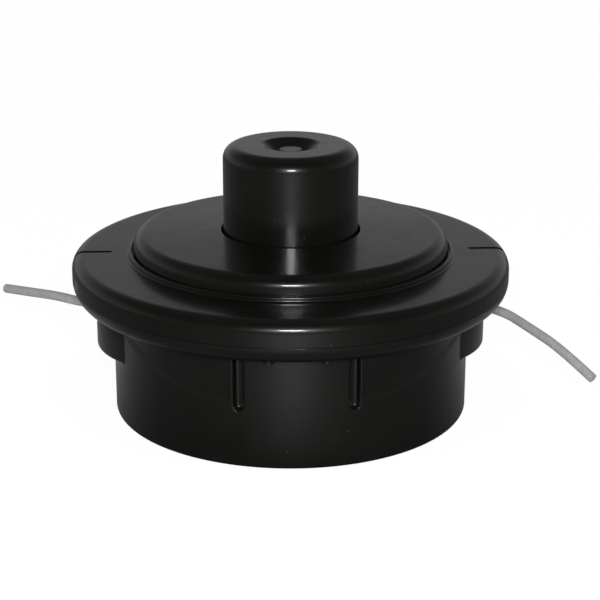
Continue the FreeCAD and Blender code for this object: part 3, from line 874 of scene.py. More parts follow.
@dataclass
class Cover:
    """The clip-on cover: the wide flange and the raised disc in its middle."""

    RIM_COLUMNS = 360
    DISC_COLUMNS = 320
    SLIT_STEPS = 12

    sizes: HeadSizes
    hair_edge: float = 0.1
    fine_edge: float = 0.2
    lip_edge: float = 0.25
    small_edge: float = 0.3
    plain_edge: float = 0.4
    skirt_edge: float = 1.0
    cut_over: float = 1.0
    plate_inner: float = 36.5
    latch_inner: float = 45.3
    latch_outer: float = 47.9
    collar_outer: float = 40.9
    collar_wall: float = 0.9
    slit_start: float = 45.0
    slit_half: float = 0.8
    slit_depth: float = 1.6
    window_half: float = 11.2
    window: tuple[float, float] = (34.9, 37.2)
    window_inset: float = 1.5
    disc_thickness: float = 2.6
    disc_skirt: float = 2.2
    disc_edge: float = 2.8
    disc_crown: float = 0.5
    disc_draft: float = 0.5
    spigot_inner: float = 34.8
    spigot_outer: float = 36.2
    bead: float = 0.8
    bead_height: float = 0.7
    bead_gap: float = 0.05
    knob_gap: float = 0.55
    dog_reach: float = 3.5
    dog_bury: float = 0.4

    def build_rim(self) -> bpy.types.Object:
        """Mould the flange, with its collar, latch ring and two edge slits.

        Returns:
            The finished mesh.
        """
        sizes = self.sizes
        under = sizes.plate_under
        skirt = sizes.rim_radius - sizes.rim_wall
        bottom = sizes.lip_top + sizes.parting_gap
        corners = [
            Corner(self.plate_inner, under, self.fine_edge),
            Corner(self.latch_inner, under, self.small_edge),
            Corner(self.latch_inner, sizes.lip_top, self.small_edge),
            Corner(self.latch_outer, sizes.lip_top, self.small_edge),
            Corner(self.latch_outer, under, self.small_edge),
            Corner(skirt, under, self.skirt_edge),
            Corner(skirt, bottom, self.fine_edge),
        ]
        arc = sizes.rounding(bottom, sizes.round_centre[1])
        arc[0] = Corner(arc[0].r, arc[0].z, sizes.parting_edge)
        corners += arc
        collar_inner = self.collar_outer - self.collar_wall
        collar_top = sizes.rim_top + sizes.collar_height
        corners += [
            Corner(sizes.rim_radius, sizes.rim_top, sizes.rim_shoulder),
            Corner(self.collar_outer, sizes.rim_top, self.plain_edge),
            Corner(self.collar_outer, collar_top, self.plain_edge),
            Corner(collar_inner, collar_top, self.lip_edge),
            Corner(collar_inner, sizes.rim_top, self.hair_edge),
            Corner(self.plate_inner, sizes.rim_top, self.fine_edge),
        ]
        piece = Mesher.turn("cover_flange", Outline(corners), columns=self.RIM_COLUMNS)
        Mesher.combine(piece, self._rim_cutters(), "DIFFERENCE")
        return piece

    def _rim_cutters(self) -> bpy.types.Object:
        """Slits over the shoulder at both line exits, and the latch windows.

        Returns:
            One mesh to cut with.
        """
        sizes = self.sizes
        mesh = bmesh.new()
        outside = sizes.rim_radius + self.cut_over
        outline = [(outside, -self.slit_half), (outside, self.slit_half)]
        for step in range(self.SLIT_STEPS + 1):
            turn = math.pi * (0.5 + step / self.SLIT_STEPS)
            x = self.slit_start + self.slit_half * (1.0 + math.cos(turn))
            outline.append((x, self.slit_half * math.sin(turn)))
        for number in range(2):
            turn = Matrix.Rotation(math.pi * number, 4, "Z")
            low, high = sizes.rim_top - self.slit_depth, sizes.rim_top + self.cut_over
            Mesher.add_prism(mesh, outline, low, high, turn)
        near, far = self.latch_inner - self.window_inset, self.latch_outer + self.cut_over
        window = oblong(near, far, self.window_half)
        for turn in Housing.TONGUES:
            Mesher.add_prism(mesh, window, *self.window, Matrix.Rotation(math.radians(turn), 4, "Z"))
        return Mesher.to_object("flange_cutters", mesh)

    def build_disc(self) -> bpy.types.Object:
        """Mould the raised disc, with its spigot, bead and upper index dogs.

        Returns:
            The finished mesh.
        """
        sizes = self.sizes
        under = sizes.disc_top - self.disc_thickness
        hole = sizes.knob_radius + self.knob_gap
        bead_top = sizes.plate_under - self.bead_gap
        bead_low = bead_top - self.bead_height
        corners = [
            Corner(hole, under, self.fine_edge),
            Corner(self.spigot_inner, under, self.plain_edge),
            Corner(self.spigot_inner, bead_low, self.small_edge),
            Corner(self.spigot_outer + self.bead, bead_low, self.small_edge),
            Corner(self.spigot_outer + self.bead, bead_top, self.fine_edge),
            Corner(self.spigot_outer, bead_top, self.hair_edge),
            Corner(self.spigot_outer, under, self.small_edge),
            Corner(sizes.disc_radius - self.disc_skirt, under, self.small_edge),
            Corner(sizes.disc_radius - self.disc_skirt, sizes.rim_top, self.lip_edge),
            Corner(sizes.disc_radius, sizes.rim_top, self.lip_edge),
            Corner(sizes.disc_radius - self.disc_draft, sizes.disc_top, self.disc_edge),
            Corner(hole, sizes.disc_top + self.disc_crown, self.small_edge),
        ]
        piece = Mesher.turn("cover_plate", Outline(corners), columns=self.DISC_COLUMNS)
        turns = [360.0 * number / DOGS.count for number in range(DOGS.count)]
        low = under - self.dog_reach
        dogs = Mesher.ring_of_blocks("plate_dogs", DOGS.corners(), low, under + self.dog_bury, turns)
        Mesher.combine(piece, dogs, "UNION")
        return piece


@dataclass
class Knob:
    """The bump knob, a deep moulded cap with a dished top."""

    COLUMNS = 320

    sizes: HeadSizes
    wall: float = 3.4
    inside_edge: float = 1.2
    foot_inner: float = 0.3
    foot_outer: float = 0.4
    edge: float = 3.4
    crown: float = 2.6
    dish_radius: float = 7.2
    dish_floor: float = 3.1
    dish_depth: float = 3.0
    dish_round: float = 1.6
    gate_radius: float = 2.95
    gate_sink: float = 1.2
    gate_edge: float = 0.35
    gate_gap: float = 0.3
    gate_fillet: float = 0.2
    gate_foot: float = 0.1

    def build(self) -> bpy.types.Object:
        """Mould the knob.

        Returns:
            The finished mesh.
        """
        sizes = self.sizes
        floor = sizes.knob_top - self.dish_depth
        inside = sizes.knob_radius - self.wall
        corners = (
            Corner(0.0, floor - self.crown),
            Corner(inside, floor - self.crown, self.inside_edge),
            Corner(inside, sizes.knob_bottom, self.foot_inner),
            Corner(sizes.knob_radius, sizes.knob_bottom, self.foot_outer),
            Corner(sizes.knob_radius, sizes.knob_top, self.edge),
            Corner(self.dish_radius, sizes.knob_top, self.dish_round),
            Corner(self.dish_floor + self.gate_gap, floor, self.gate_fillet),
            Corner(self.gate_radius, floor, self.gate_foot),
            Corner(self.gate_radius, sizes.knob_top - self.gate_sink, self.gate_edge),
            Corner(0.0, sizes.knob_top - self.gate_sink),
        )
        return Mesher.turn("press_knob", Outline(corners, closed=False), columns=self.COLUMNS)


@dataclass
class Eyelets:
    """The two turned metal eyelets that the line leaves through."""

    COLUMNS = 96
    RIGHT = 90.0
    LEFT = -90.0

    sizes: HeadSizes
    edge: float = 0.4
    seat_edge: float = 0.15
    flange_edge: float = 0.2
    bore: float = 1.8
    outer: float = 3.2
    flange: float = 4.2
    flange_thickness: float = 1.0
    flare: float = 0.9
    inner_end: float = 42.4
    outer_end: float = 49.1

    def build(self, name: str, turn: float) -> bpy.types.Object:
        """Turn one eyelet.

        Args:
            name: Name of the piece.
            turn: Turn of its axis about Y in degrees, RIGHT or LEFT.

        Returns:
            The finished mesh.
        """
        seat = self.outer_end - self.flange_thickness
        corners = (
            Corner(self.bore, self.inner_end, self.edge),
            Corner(self.outer, self.inner_end, self.edge),
            Corner(self.outer, seat, self.seat_edge),
            Corner(self.flange, seat, self.flange_edge),
            Corner(self.flange, self.outer_end, self.edge),
            Corner(self.bore, self.outer_end, self.flare),
        )
        piece = Mesher.turn(name, Outline(corners), columns=self.COLUMNS)
        rise = Matrix.Translation((0.0, 0.0, self.sizes.eyelet_height * MM))
        piece.data.transform(rise @ Matrix.Rotation(math.radians(turn), 4, "Y"))
        return piece


@dataclass
class ArborNut:
    """The hexagon nut in the hub, with the spindle's thread."""

    flats: float = 17.0
    crown_share: float = 0.98
    chamfer_angle: float = 30.0
    face_gap: float = 0.1
    thread_flank: float = 2.6
    thread_flat: float = 0.2
    minor: float = 4.325
    major: float = 5.0
    pitch: float = 1.25
    columns: int = 144
    rows_per_pitch: int = 10

    def build(self) -> bpy.types.Object:
        """Model the nut between the heights of its solid.

        Returns:
            The finished mesh.
        """
        low, high = (corner.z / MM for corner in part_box("arbor_nut"))
        angles = [2 * math.pi * step / self.columns for step in range(self.columns)]
        return Mesher.loft("spindle_nut", angles, lambda angle: self._section(angle, low, high), closed=True)

    def _section(self, angle: float, low: float, high: float) -> list[Point]:
        """Section in one direction, with the hexagon outside and the thread inside.

        Args:
            angle: Direction in radians.
            low: Height of the lower face.
            high: Height of the upper face.

        Returns:
            Points round the section.
        """
        side = math.pi / 3
        half = self.flats / 2
        outside = half / math.cos((angle + side) % side - side / 2)
        crown = half * self.crown_share
        mouth = self.major + self.face_gap
        drop = (outside - crown) * math.tan(math.radians(self.chamfer_angle))
        points = [(mouth, low), (crown, low), (outside, low + drop), (outside, high - drop)]
        points += [(crown, high), (mouth, high)]
        turns = (high - low) / self.pitch
        count = round(turns * self.rows_per_pitch)
        for row in range(count + 1):
            height = high - (high - low) * row / count
            points.append((self._thread(angle, height, low, high), height))
        return points

    def _thread(self, angle: float, height: float, low: float, high: float) -> float:
        """Radius of the thread at one place.

        Args:
            angle: Direction in radians.
            height: Height on the axis.
            low: Height of the lower face.
            high: Height of the upper face.

        Returns:
            The radius, opened out at both mouths.
        """
        phase = (height / self.pitch - angle / (2 * math.pi)) % 1.0
        crest = min(max(abs(phase - 0.5) * self.thread_flank - self.thread_flat, 0.0), 1.0)
        radius = self.minor + (self.major - self.minor) * crest
        mouth = self.major - min(height - low, high - height)
        return max(radius, mouth)


@dataclass
class BumpSpring:
    """The helical spring between the hub and the spool, with closed end coils."""

    mean_radius: float = 11.0
    wire: float = 1.6
    turns: float = 6.0
    closed_turns: float = 0.8
    steps_per_turn: int = 48
    sides: int = 16

    def build(self) -> bpy.types.Object:
        """Coil the spring between the heights of its solid.

        Returns:
            The finished mesh.
        """
        low, high = (corner.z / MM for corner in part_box("spring"))
        count = round(self.turns * self.steps_per_turn)
        mesh = bmesh.new()
        rings = []
        for step in range(count + 1):
            turn = 2 * math.pi * step / self.steps_per_turn
            height = self._height(step / self.steps_per_turn, low + self.wire / 2, high - self.wire / 2)
            rings.append(self._ring(mesh, turn, height))
        for first, second in zip(rings, rings[1:]):
            for number in range(self.sides):
                beside = (number + 1) % self.sides
                mesh.faces.new([first[number], first[beside], second[beside], second[number]])
        mesh.faces.new(rings[0])
        mesh.faces.new(rings[-1])
        return Mesher.to_object("coil_spring", mesh)

    def _height(self, turns: float, low: float, high: float) -> float:
        """Height of the wire's middle after some turns.

        Args:
            turns: Turns from the lower end.
            low: Lowest middle height.
            high: Highest middle height.

        Returns:
            The height.
        """
        end_rise = self.closed_turns * self.wire
        share = (turns - self.closed_turns) / (self.turns - 2 * self.closed_turns)
        if share < 0.0:
            return low + turns * self.wire
        if share > 1.0:
            return high - (self.turns - turns) * self.wire
        return low + end_rise + (high - low - 2 * end_rise) * share

    def _ring(self, mesh: bmesh.types.BMesh, turn: float, height: float) -> list[bmesh.types.BMVert]:
        """Add one ring of the wire.

        Args:
            mesh: The working mesh.
            turn: Direction in radians.
            height: Height of the wire's middle.

        Returns:
            The ring's vertices.
        """
        ring = []
        for number in range(self.sides):
            side = 2 * math.pi * number / self.sides
            radius = self.mean_radius + self.wire / 2 * math.cos(side)
            middle = height + self.wire / 2 * math.sin(side)
            ring.append(mesh.verts.new((radius * math.cos(turn), radius * math.sin(turn), middle)))
        return ring


@dataclass
class LineTail:
    """A free end of the cutting line, from its eyelet to the square-cut tip."""

    ROUND_STEPS = 8
    LENGTH_STEPS = 24
    ORDER = 3

    name: str
    node: str
    route: tuple[tuple[float, float, float], ...]
    length: float
    diameter: float = 2.4

    def build(self) -> bpy.types.Object:
        """Returns:
            The curve.
        """
        data = bpy.data.curves.new(self.name, "CURVE")
        data.dimensions = "3D"
        data.bevel_depth = self.diameter * MM / 2
        data.bevel_resolution = self.ROUND_STEPS
        data.resolution_u = self.LENGTH_STEPS
        data.use_fill_caps = True
        spline = data.splines.new("NURBS")
        spline.points.add(len(self.route) - 1)
        for point, place in zip(spline.points, self.route):
            point.co = (*(Vector(place) * MM), 1.0)
        spline.order_u = self.ORDER
        spline.use_endpoint_u = True
        piece = add_object(self.name, data)
        return piece


RIGHT_TAIL = LineTail(
    name="right_cutting_line",
    node="right_line_tail",
    route=(
        (43.4, 0.1, 25.8),
        (53.0, -0.8, 24.5),
        (60.4, -8.8, 21.6),
        (67.0, -17.0, 18.9),
        (73.4, -25.0, 14.2),
    ),
    length=42.5,
)
LEFT_TAIL = LineTail(
    name="left_cutting_line",
    node="left_line_tail",
    route=(
        (-43.4, -0.1, 25.3),
        (-53.0, 0.8, 26.6),
        (-60.4, 9.0, 25.7),
        (-68.0, 17.0, 24.05),
        (-75.4, 25.2, 22.4),
    ),
    length=42.6,
)


class Shading:
    """Small helpers for shader node trees."""

    # Sockets of the Mix node that carry colours
    MIX_SHARE = 0
    MIX_FIRST = 6
    MIX_SECOND = 7
    MIX_RESULT = 2

    @staticmethod
    def feed(tree: bpy.types.NodeTree, socket: bpy.types.NodeSocket, value: object) -> None:
        """Link a socket to an input, or give the input its own value.

        Args:
            tree: The tree that they are in.
            socket: The input.
            value: A value or another node's socket.
        """
        if isinstance(value, bpy.types.NodeSocket):
            tree.links.new(value, socket)
        else:
            socket.default_value = value

    @classmethod
    def node(cls, tree: bpy.types.NodeTree, kind: str, **inputs: object) -> bpy.types.Node:
        """Add a node and set or link its inputs.

        Args:
            tree: The tree that gets it.
            kind: Type name of the node.
            **inputs: Input names with spaces as underscores, and a value or a socket for each.

        Returns:
            The new node.
        """
        made = tree.nodes.new(kind)
        for name, value in inputs.items():
            cls.feed(tree, made.inputs[name.replace("_", " ")], value)
        return made

    @classmethod
    def maths(cls, tree: bpy.types.NodeTree, operation: str, *values: object) -> bpy.types.NodeSocket:
        """Add a Math node.

        Args:
            tree: The tree that gets it.
            operation: Blender's name of the operation.
            *values: Numbers or sockets, in order.

        Returns:
            Its output.
        """
        made = tree.nodes.new("ShaderNodeMath")
        made.operation = operation
        for socket, value in zip(made.inputs, values):
            cls.feed(tree, socket, value)
        return made.outputs[0]

    @classmethod
    def spread(cls, tree: bpy.types.NodeTree, value: object, *limits: object) -> bpy.types.NodeSocket:
        """Carry a value from one range to another, held at its ends.

        Args:
            tree: The tree that gets the node.
            value: The value's socket.
            *limits: From low, from high, to low and to high.

        Returns:
            Its output.
        """
        names = ("Value", "From_Min", "From_Max", "To_Min", "To_Max")
        made = cls.node(tree, "ShaderNodeMapRange", **dict(zip(names, (value, *limits))))
        return made.outputs["Result"]

    @classmethod
    def noise(
        cls, tree: bpy.types.NodeTree, place: object, scale: object, detail: float
    ) -> bpy.types.NodeSocket:
        """Add a noise texture.

        Args:
            tree: The tree that gets it.
            place: Socket with the coordinates.
            scale: Its scale.
            detail: Its octaves.

        Returns:
            The value's output.
        """
        made = cls.node(tree, "ShaderNodeTexNoise", Vector=place, Scale=scale, Detail=detail)
        return made.outputs["Fac"]

    @classmethod
    def mix(
        cls, tree: bpy.types.NodeTree, share: object, first: object, second: object
    ) -> bpy.types.NodeSocket:
        """Mix two colours.

        Args:
            tree: The tree that gets the node.
            share: Share of the second colour.
            first: First colour or socket.
            second: Second colour or socket.

        Returns:
            The colour's output.
        """
        made = tree.nodes.new("ShaderNodeMix")
        made.data_type = "RGBA"
        for number, value in ((cls.MIX_SHARE, share), (cls.MIX_FIRST, first), (cls.MIX_SECOND, second)):
            cls.feed(tree, made.inputs[number], value)
        return made.outputs[cls.MIX_RESULT]

    @staticmethod
    def group(name: str, inputs: dict[str, float], outputs: Sequence[str]) -> bpy.types.NodeTree:
        """Start a node group whose sockets are all plain values.

        Args:
            name: Name of the group.
            inputs: Input names and their usual values.
            outputs: Output names.

        Returns:
            The group, with its input and output nodes.
        """
        tree = bpy.data.node_groups.new(name, "ShaderNodeTree")
        for label, value in inputs.items():
            socket = tree.interface.new_socket(label, in_out="INPUT", socket_type="NodeSocketFloat")
            socket.default_value = value
        for label in outputs:
            tree.interface.new_socket(label, in_out="OUTPUT", socket_type="NodeSocketFloat")
        tree.nodes.new("NodeGroupInput")
        tree.nodes.new("NodeGroupOutput")
        return tree

    @staticmethod
    def ends(tree: bpy.types.NodeTree) -> tuple[bpy.types.Node, bpy.types.Node]:
        """Find a group's input and output nodes.

        Args:
            tree: The group.

        Returns:
            Both nodes.
        """
        return tree.nodes["Group Input"], tree.nodes["Group Output"]


class Effects:
    """The node groups that the finishes share."""

    GRAIN_OCTAVES = 3.0
    PATCH_OCTAVES = 4.0
    STROKE_OCTAVES = 5.0
    RUB_OCTAVES = 6.0
    RUB_SCALE = 190.0
    GLOSS_SPAN = (0.3, 0.7)
    TONE_SPAN = (0.35, 0.65)
    RUB_SPAN = (0.56, 0.72)

    def __init__(self) -> None:
        """Build each group once."""
        self.skin = self._moulded_skin()
        self.dust = self._settled_dust()
        self.strokes = self._drawn_strokes()

    @classmethod
    def _moulded_skin(cls) -> bpy.types.NodeTree:
        """Fine texture and uneven gloss that a mould leaves.

        Returns:
            The group.
        """
        inputs = {"Grain": 2600.0, "Patches": 60.0, "Smooth": 0.38, "Dull": 0.5}
        tree = Shading.group("moulded_skin", inputs, ("Roughness", "Height", "Tone"))
        begin, end = Shading.ends(tree)
        place = tree.nodes.new("ShaderNodeTexCoord").outputs["Object"]
        fine = Shading.noise(tree, place, begin.outputs["Grain"], cls.GRAIN_OCTAVES)
        patches = Shading.noise(tree, place, begin.outputs["Patches"], cls.PATCH_OCTAVES)
        limits = (begin.outputs["Smooth"], begin.outputs["Dull"])
        gloss = Shading.spread(tree, patches, *cls.GLOSS_SPAN, *limits)
        tree.links.new(gloss, end.inputs["Roughness"])
        tree.links.new(fine, end.inputs["Height"])
        tree.links.new(Shading.spread(tree, patches, *cls.TONE_SPAN, 0.0, 1.0), end.inputs["Tone"])
        return tree

    @classmethod
    def _settled_dust(cls) -> bpy.types.NodeTree:
        """Sparse pale specks and faint rub marks.

        Returns:
            The group.
        """
        inputs = {"Cells": 420.0, "Size": 0.1, "Amount": 0.35}
        tree = Shading.group("settled_dust", inputs, ("Specks", "Rub"))
        begin, end = Shading.ends(tree)
        place = tree.nodes.new("ShaderNodeTexCoord").outputs["Object"]
        cells = Shading.node(tree, "ShaderNodeTexVoronoi", Vector=place, Scale=begin.outputs["Cells"])
        chosen = Shading.node(tree, "ShaderNodeSeparateColor", Color=cells.outputs["Color"]).outputs["Red"]
        rare = Shading.maths(tree, "LESS_THAN", chosen, begin.outputs["Amount"])
        near = Shading.spread(tree, cells.outputs["Distance"], 0.0, begin.outputs["Size"], 1.0, 0.0)
        tree.links.new(Shading.maths(tree, "MULTIPLY", near, rare), end.inputs["Specks"])
        rub = Shading.noise(tree, place, cls.RUB_SCALE, cls.RUB_OCTAVES)
        tree.links.new(Shading.spread(tree, rub, *cls.RUB_SPAN, 0.0, 1.0), end.inputs["Rub"])
        return tree

    @classmethod
    def _drawn_strokes(cls) -> bpy.types.NodeTree:
        """Fine strokes of drawn, turned or extruded stock.

        Returns:
            The group.
        """
        inputs = {"Along X": 1.0, "Along Y": 1.0, "Along Z": 1.0, "Scale": 900.0, "Smooth": 0.2, "Dull": 0.4}
        tree = Shading.group("drawn_strokes", inputs, ("Roughness", "Height", "Tone"))
        begin, end = Shading.ends(tree)
        place = tree.nodes.new("ShaderNodeTexCoord").outputs["Object"]
        stretch = Shading.node(
            tree,
            "ShaderNodeCombineXYZ",
            X=begin.outputs["Along X"],
            Y=begin.outputs["Along Y"],
            Z=begin.outputs["Along Z"],
        )
        scaled = tree.nodes.new("ShaderNodeVectorMath")
        scaled.operation = "MULTIPLY"
        tree.links.new(place, scaled.inputs[0])
        tree.links.new(stretch.outputs["Vector"], scaled.inputs[1])
        strokes = Shading.noise(tree, scaled.outputs["Vector"], begin.outputs["Scale"], cls.STROKE_OCTAVES)
        limits = (begin.outputs["Smooth"], begin.outputs["Dull"])
        gloss = Shading.spread(tree, strokes, *cls.GLOSS_SPAN, *limits)
        tree.links.new(gloss, end.inputs["Roughness"])
        tree.links.new(strokes, end.inputs["Height"])
        tree.links.new(Shading.spread(tree, strokes, *cls.TONE_SPAN, 0.0, 1.0), end.inputs["Tone"])
        return tree


@dataclass(frozen=True)
class MouldedFinish:
    """Black moulded plastic: a dark body under a glossier skin."""

    name: str
    dark: Colour = (0.0036, 0.0032, 0.0026, 1.0)
    pale: Colour = (0.0052, 0.0047, 0.0039, 1.0)
    speck: Colour = (0.20, 0.20, 0.20, 1.0)
    smooth: float = 0.26
    dull: float = 0.34
    grain: float = 2600.0
    grain_depth: float = 0.00003
    grain_strength: float = 0.25
    dust: float = 0.12
    speck_share: float = 0.5
    rub_roughness: float = 0.06
    refraction: float = 1.5
    coat: float = 0.5
    coat_roughness: float = 0.12
    body_gloss: float = 0.25

    def material(self, effects: Effects) -> bpy.types.Material:
        """Mix the finish.

        Args:
            effects: The shared node groups.

        Returns:
            The material.
        """
        made, tree, surface = new_material(self.name)
        skin = place_group(tree, effects.skin, Grain=self.grain, Smooth=self.smooth, Dull=self.dull)
        dust = place_group(tree, effects.dust, Amount=self.dust)
        body = Shading.mix(tree, skin.outputs["Tone"], self.dark, self.pale)
        faint = Shading.maths(tree, "MULTIPLY", dust.outputs["Specks"], self.speck_share)
        colour = Shading.mix(tree, faint, body, self.speck)
        tree.links.new(colour, surface.inputs["Base Color"])
        rub = Shading.maths(tree, "MULTIPLY", dust.outputs["Rub"], self.rub_roughness)
        rough = Shading.maths(tree, "ADD", skin.outputs["Roughness"], rub)
        tree.links.new(rough, surface.inputs["Roughness"])
        bump(tree, surface, skin.outputs["Height"], self.grain_strength, self.grain_depth)
        surface.inputs["Coat Weight"].default_value = self.coat
        surface.inputs["Coat Roughness"].default_value = self.coat_roughness
        surface.inputs["IOR"].default_value = self.refraction
        surface.inputs["Specular IOR Level"].default_value = self.body_gloss
        return made


@dataclass(frozen=True)
class MetalFinish:
    """Plated or drawn steel with fine strokes."""

    name: str
    dark: Colour
    pale: Colour
    smooth: float
    dull: float
    stretch: tuple[float, float, float]
    scale: float = 900.0
    depth: float = 0.00002
    strength: float = 0.2

    def material(self, effects: Effects) -> bpy.types.Material:
        """Mix the finish.

        Args:
            effects: The shared node groups.

        Returns:
            The material.
        """
        made, tree, surface = new_material(self.name)
        values = dict(zip(("Along_X", "Along_Y", "Along_Z"), self.stretch))
        values.update(Scale=self.scale, Smooth=self.smooth, Dull=self.dull)
        strokes = place_group(tree, effects.strokes, **values)
        metal = Shading.mix(tree, strokes.outputs["Tone"], self.dark, self.pale)
        tree.links.new(metal, surface.inputs["Base Color"])
        tree.links.new(strokes.outputs["Roughness"], surface.inputs["Roughness"])
        bump(tree, surface, strokes.outputs["Height"], self.strength, self.depth)
        surface.inputs["Metallic"].default_value = 1.0
        return made


@dataclass(frozen=True)
class LineFinish:
    """Grey extruded nylon line, a little clear, with scuffed patches."""

    name: str
    dark: Colour = (0.41, 0.402, 0.392, 1.0)
    pale: Colour = (0.47, 0.462, 0.45, 1.0)
    smooth: float = 0.34
    dull: float = 0.46
    scale: float = 500.0
    dust: float = 0.2
    scuff: float = 0.4
    depth: float = 0.00002
    strength: float = 0.1
    clearness: float = 0.3
    clear_depth: float = 0.0008

    def material(self, effects: Effects) -> bpy.types.Material:
        """Mix the finish.

        Args:
            effects: The shared node groups.

        Returns:
            The material.
        """
        made, tree, surface = new_material(self.name)
        strokes = place_group(tree, effects.strokes, Scale=self.scale, Smooth=self.smooth, Dull=self.dull)
        dust = place_group(tree, effects.dust, Amount=self.dust)
        grey = Shading.mix(tree, strokes.outputs["Tone"], self.dark, self.pale)
        scuffed = Shading.maths(tree, "MULTIPLY", dust.outputs["Rub"], self.scuff)
        tree.links.new(Shading.mix(tree, scuffed, grey, self.pale), surface.inputs["Base Color"])
        tree.links.new(strokes.outputs["Roughness"], surface.inputs["Roughness"])
        bump(tree, surface, strokes.outputs["Height"], self.strength, self.depth)
        surface.inputs["Subsurface Weight"].default_value = self.clearness
        surface.inputs["Subsurface Radius"].default_value = (1.0, 1.0, 1.0)
        surface.inputs["Subsurface Scale"].default_value = self.clear_depth
        return made


def new_material(name: str) -> tuple[bpy.types.Material, bpy.types.NodeTree, bpy.types.Node]:
    """Start a material.

    Args:
        name: Its name.

    Returns:
        The material, its tree and its surface shader.
    """
    made = bpy.data.materials.new(name)
    made.use_nodes = True
    tree = made.node_tree
    return made, tree, tree.nodes["Principled BSDF"]


def place_group(tree: bpy.types.NodeTree, group: bpy.types.NodeTree, **inputs: float) -> bpy.types.Node:
    """Place a shared group in a material.

    Args:
        tree: The material's tree.
        group: The group.
        **inputs: Values by input name, with spaces as underscores.

    Returns:
        The group's node.
    """
    made = tree.nodes.new("ShaderNodeGroup")
    made.node_tree = group
    for name, value in inputs.items():
        made.inputs[name.replace("_", " ")].default_value = value
    return made


def bump(
    tree: bpy.types.NodeTree,
    surface: bpy.types.Node,
    height: bpy.types.NodeSocket,
    strength: float,
    depth: float,
) -> None:
    """Raise a fine relief on a surface.

    Args:
        tree: The material's tree.
        surface: Its shader.
        height: The relief's height.
        strength: How strongly it shows.
        depth: Depth of the relief in metres.
    """
    made = Shading.node(tree, "ShaderNodeBump", Strength=strength, Distance=depth, Height=height)
    tree.links.new(made.outputs["Normal"], surface.inputs["Normal"])


class Finishes:
    """Every finish of the head, mixed once."""

    def __init__(self) -> None:
        """Mix the finishes."""
        effects = Effects()
        self.cover = MouldedFinish(
            "glossy_black_nylon", coat=0.42, body_gloss=0.24, grain_strength=0.4
        ).material(effects)
        self.cup = MouldedFinish("satin_black_nylon", smooth=0.34, dull=0.42).material(effects)
        self.knob = MouldedFinish(
            "knob_black_nylon", smooth=0.28, dull=0.35, grain=2200.0, dust=0.16
        ).material(effects)
        self.spool = MouldedFinish(
            "satin_spool_nylon",
            dark=(0.018, 0.021, 0.028, 1.0),
            pale=(0.03, 0.034, 0.044, 1.0),
            coat=0.0,
        ).material(effects)
        zinc = ((0.50, 0.50, 0.51, 1.0), (0.66, 0.66, 0.67, 1.0))
        self.steel = MetalFinish("zinc_plated_steel", *zinc, 0.18, 0.34, (1.0, 6.0, 6.0)).material(effects)
        self.nut = MetalFinish("nut_zinc_steel", *zinc, 0.24, 0.42, (1.0, 1.0, 7.0)).material(effects)
        drawn = ((0.30, 0.30, 0.31, 1.0), (0.52, 0.52, 0.53, 1.0))
        self.spring = MetalFinish("drawn_spring_steel", *drawn, 0.2, 0.36, (1.0, 1.0, 9.0)).material(effects)
        self.line = LineFinish("grey_nylon_line").material(effects)


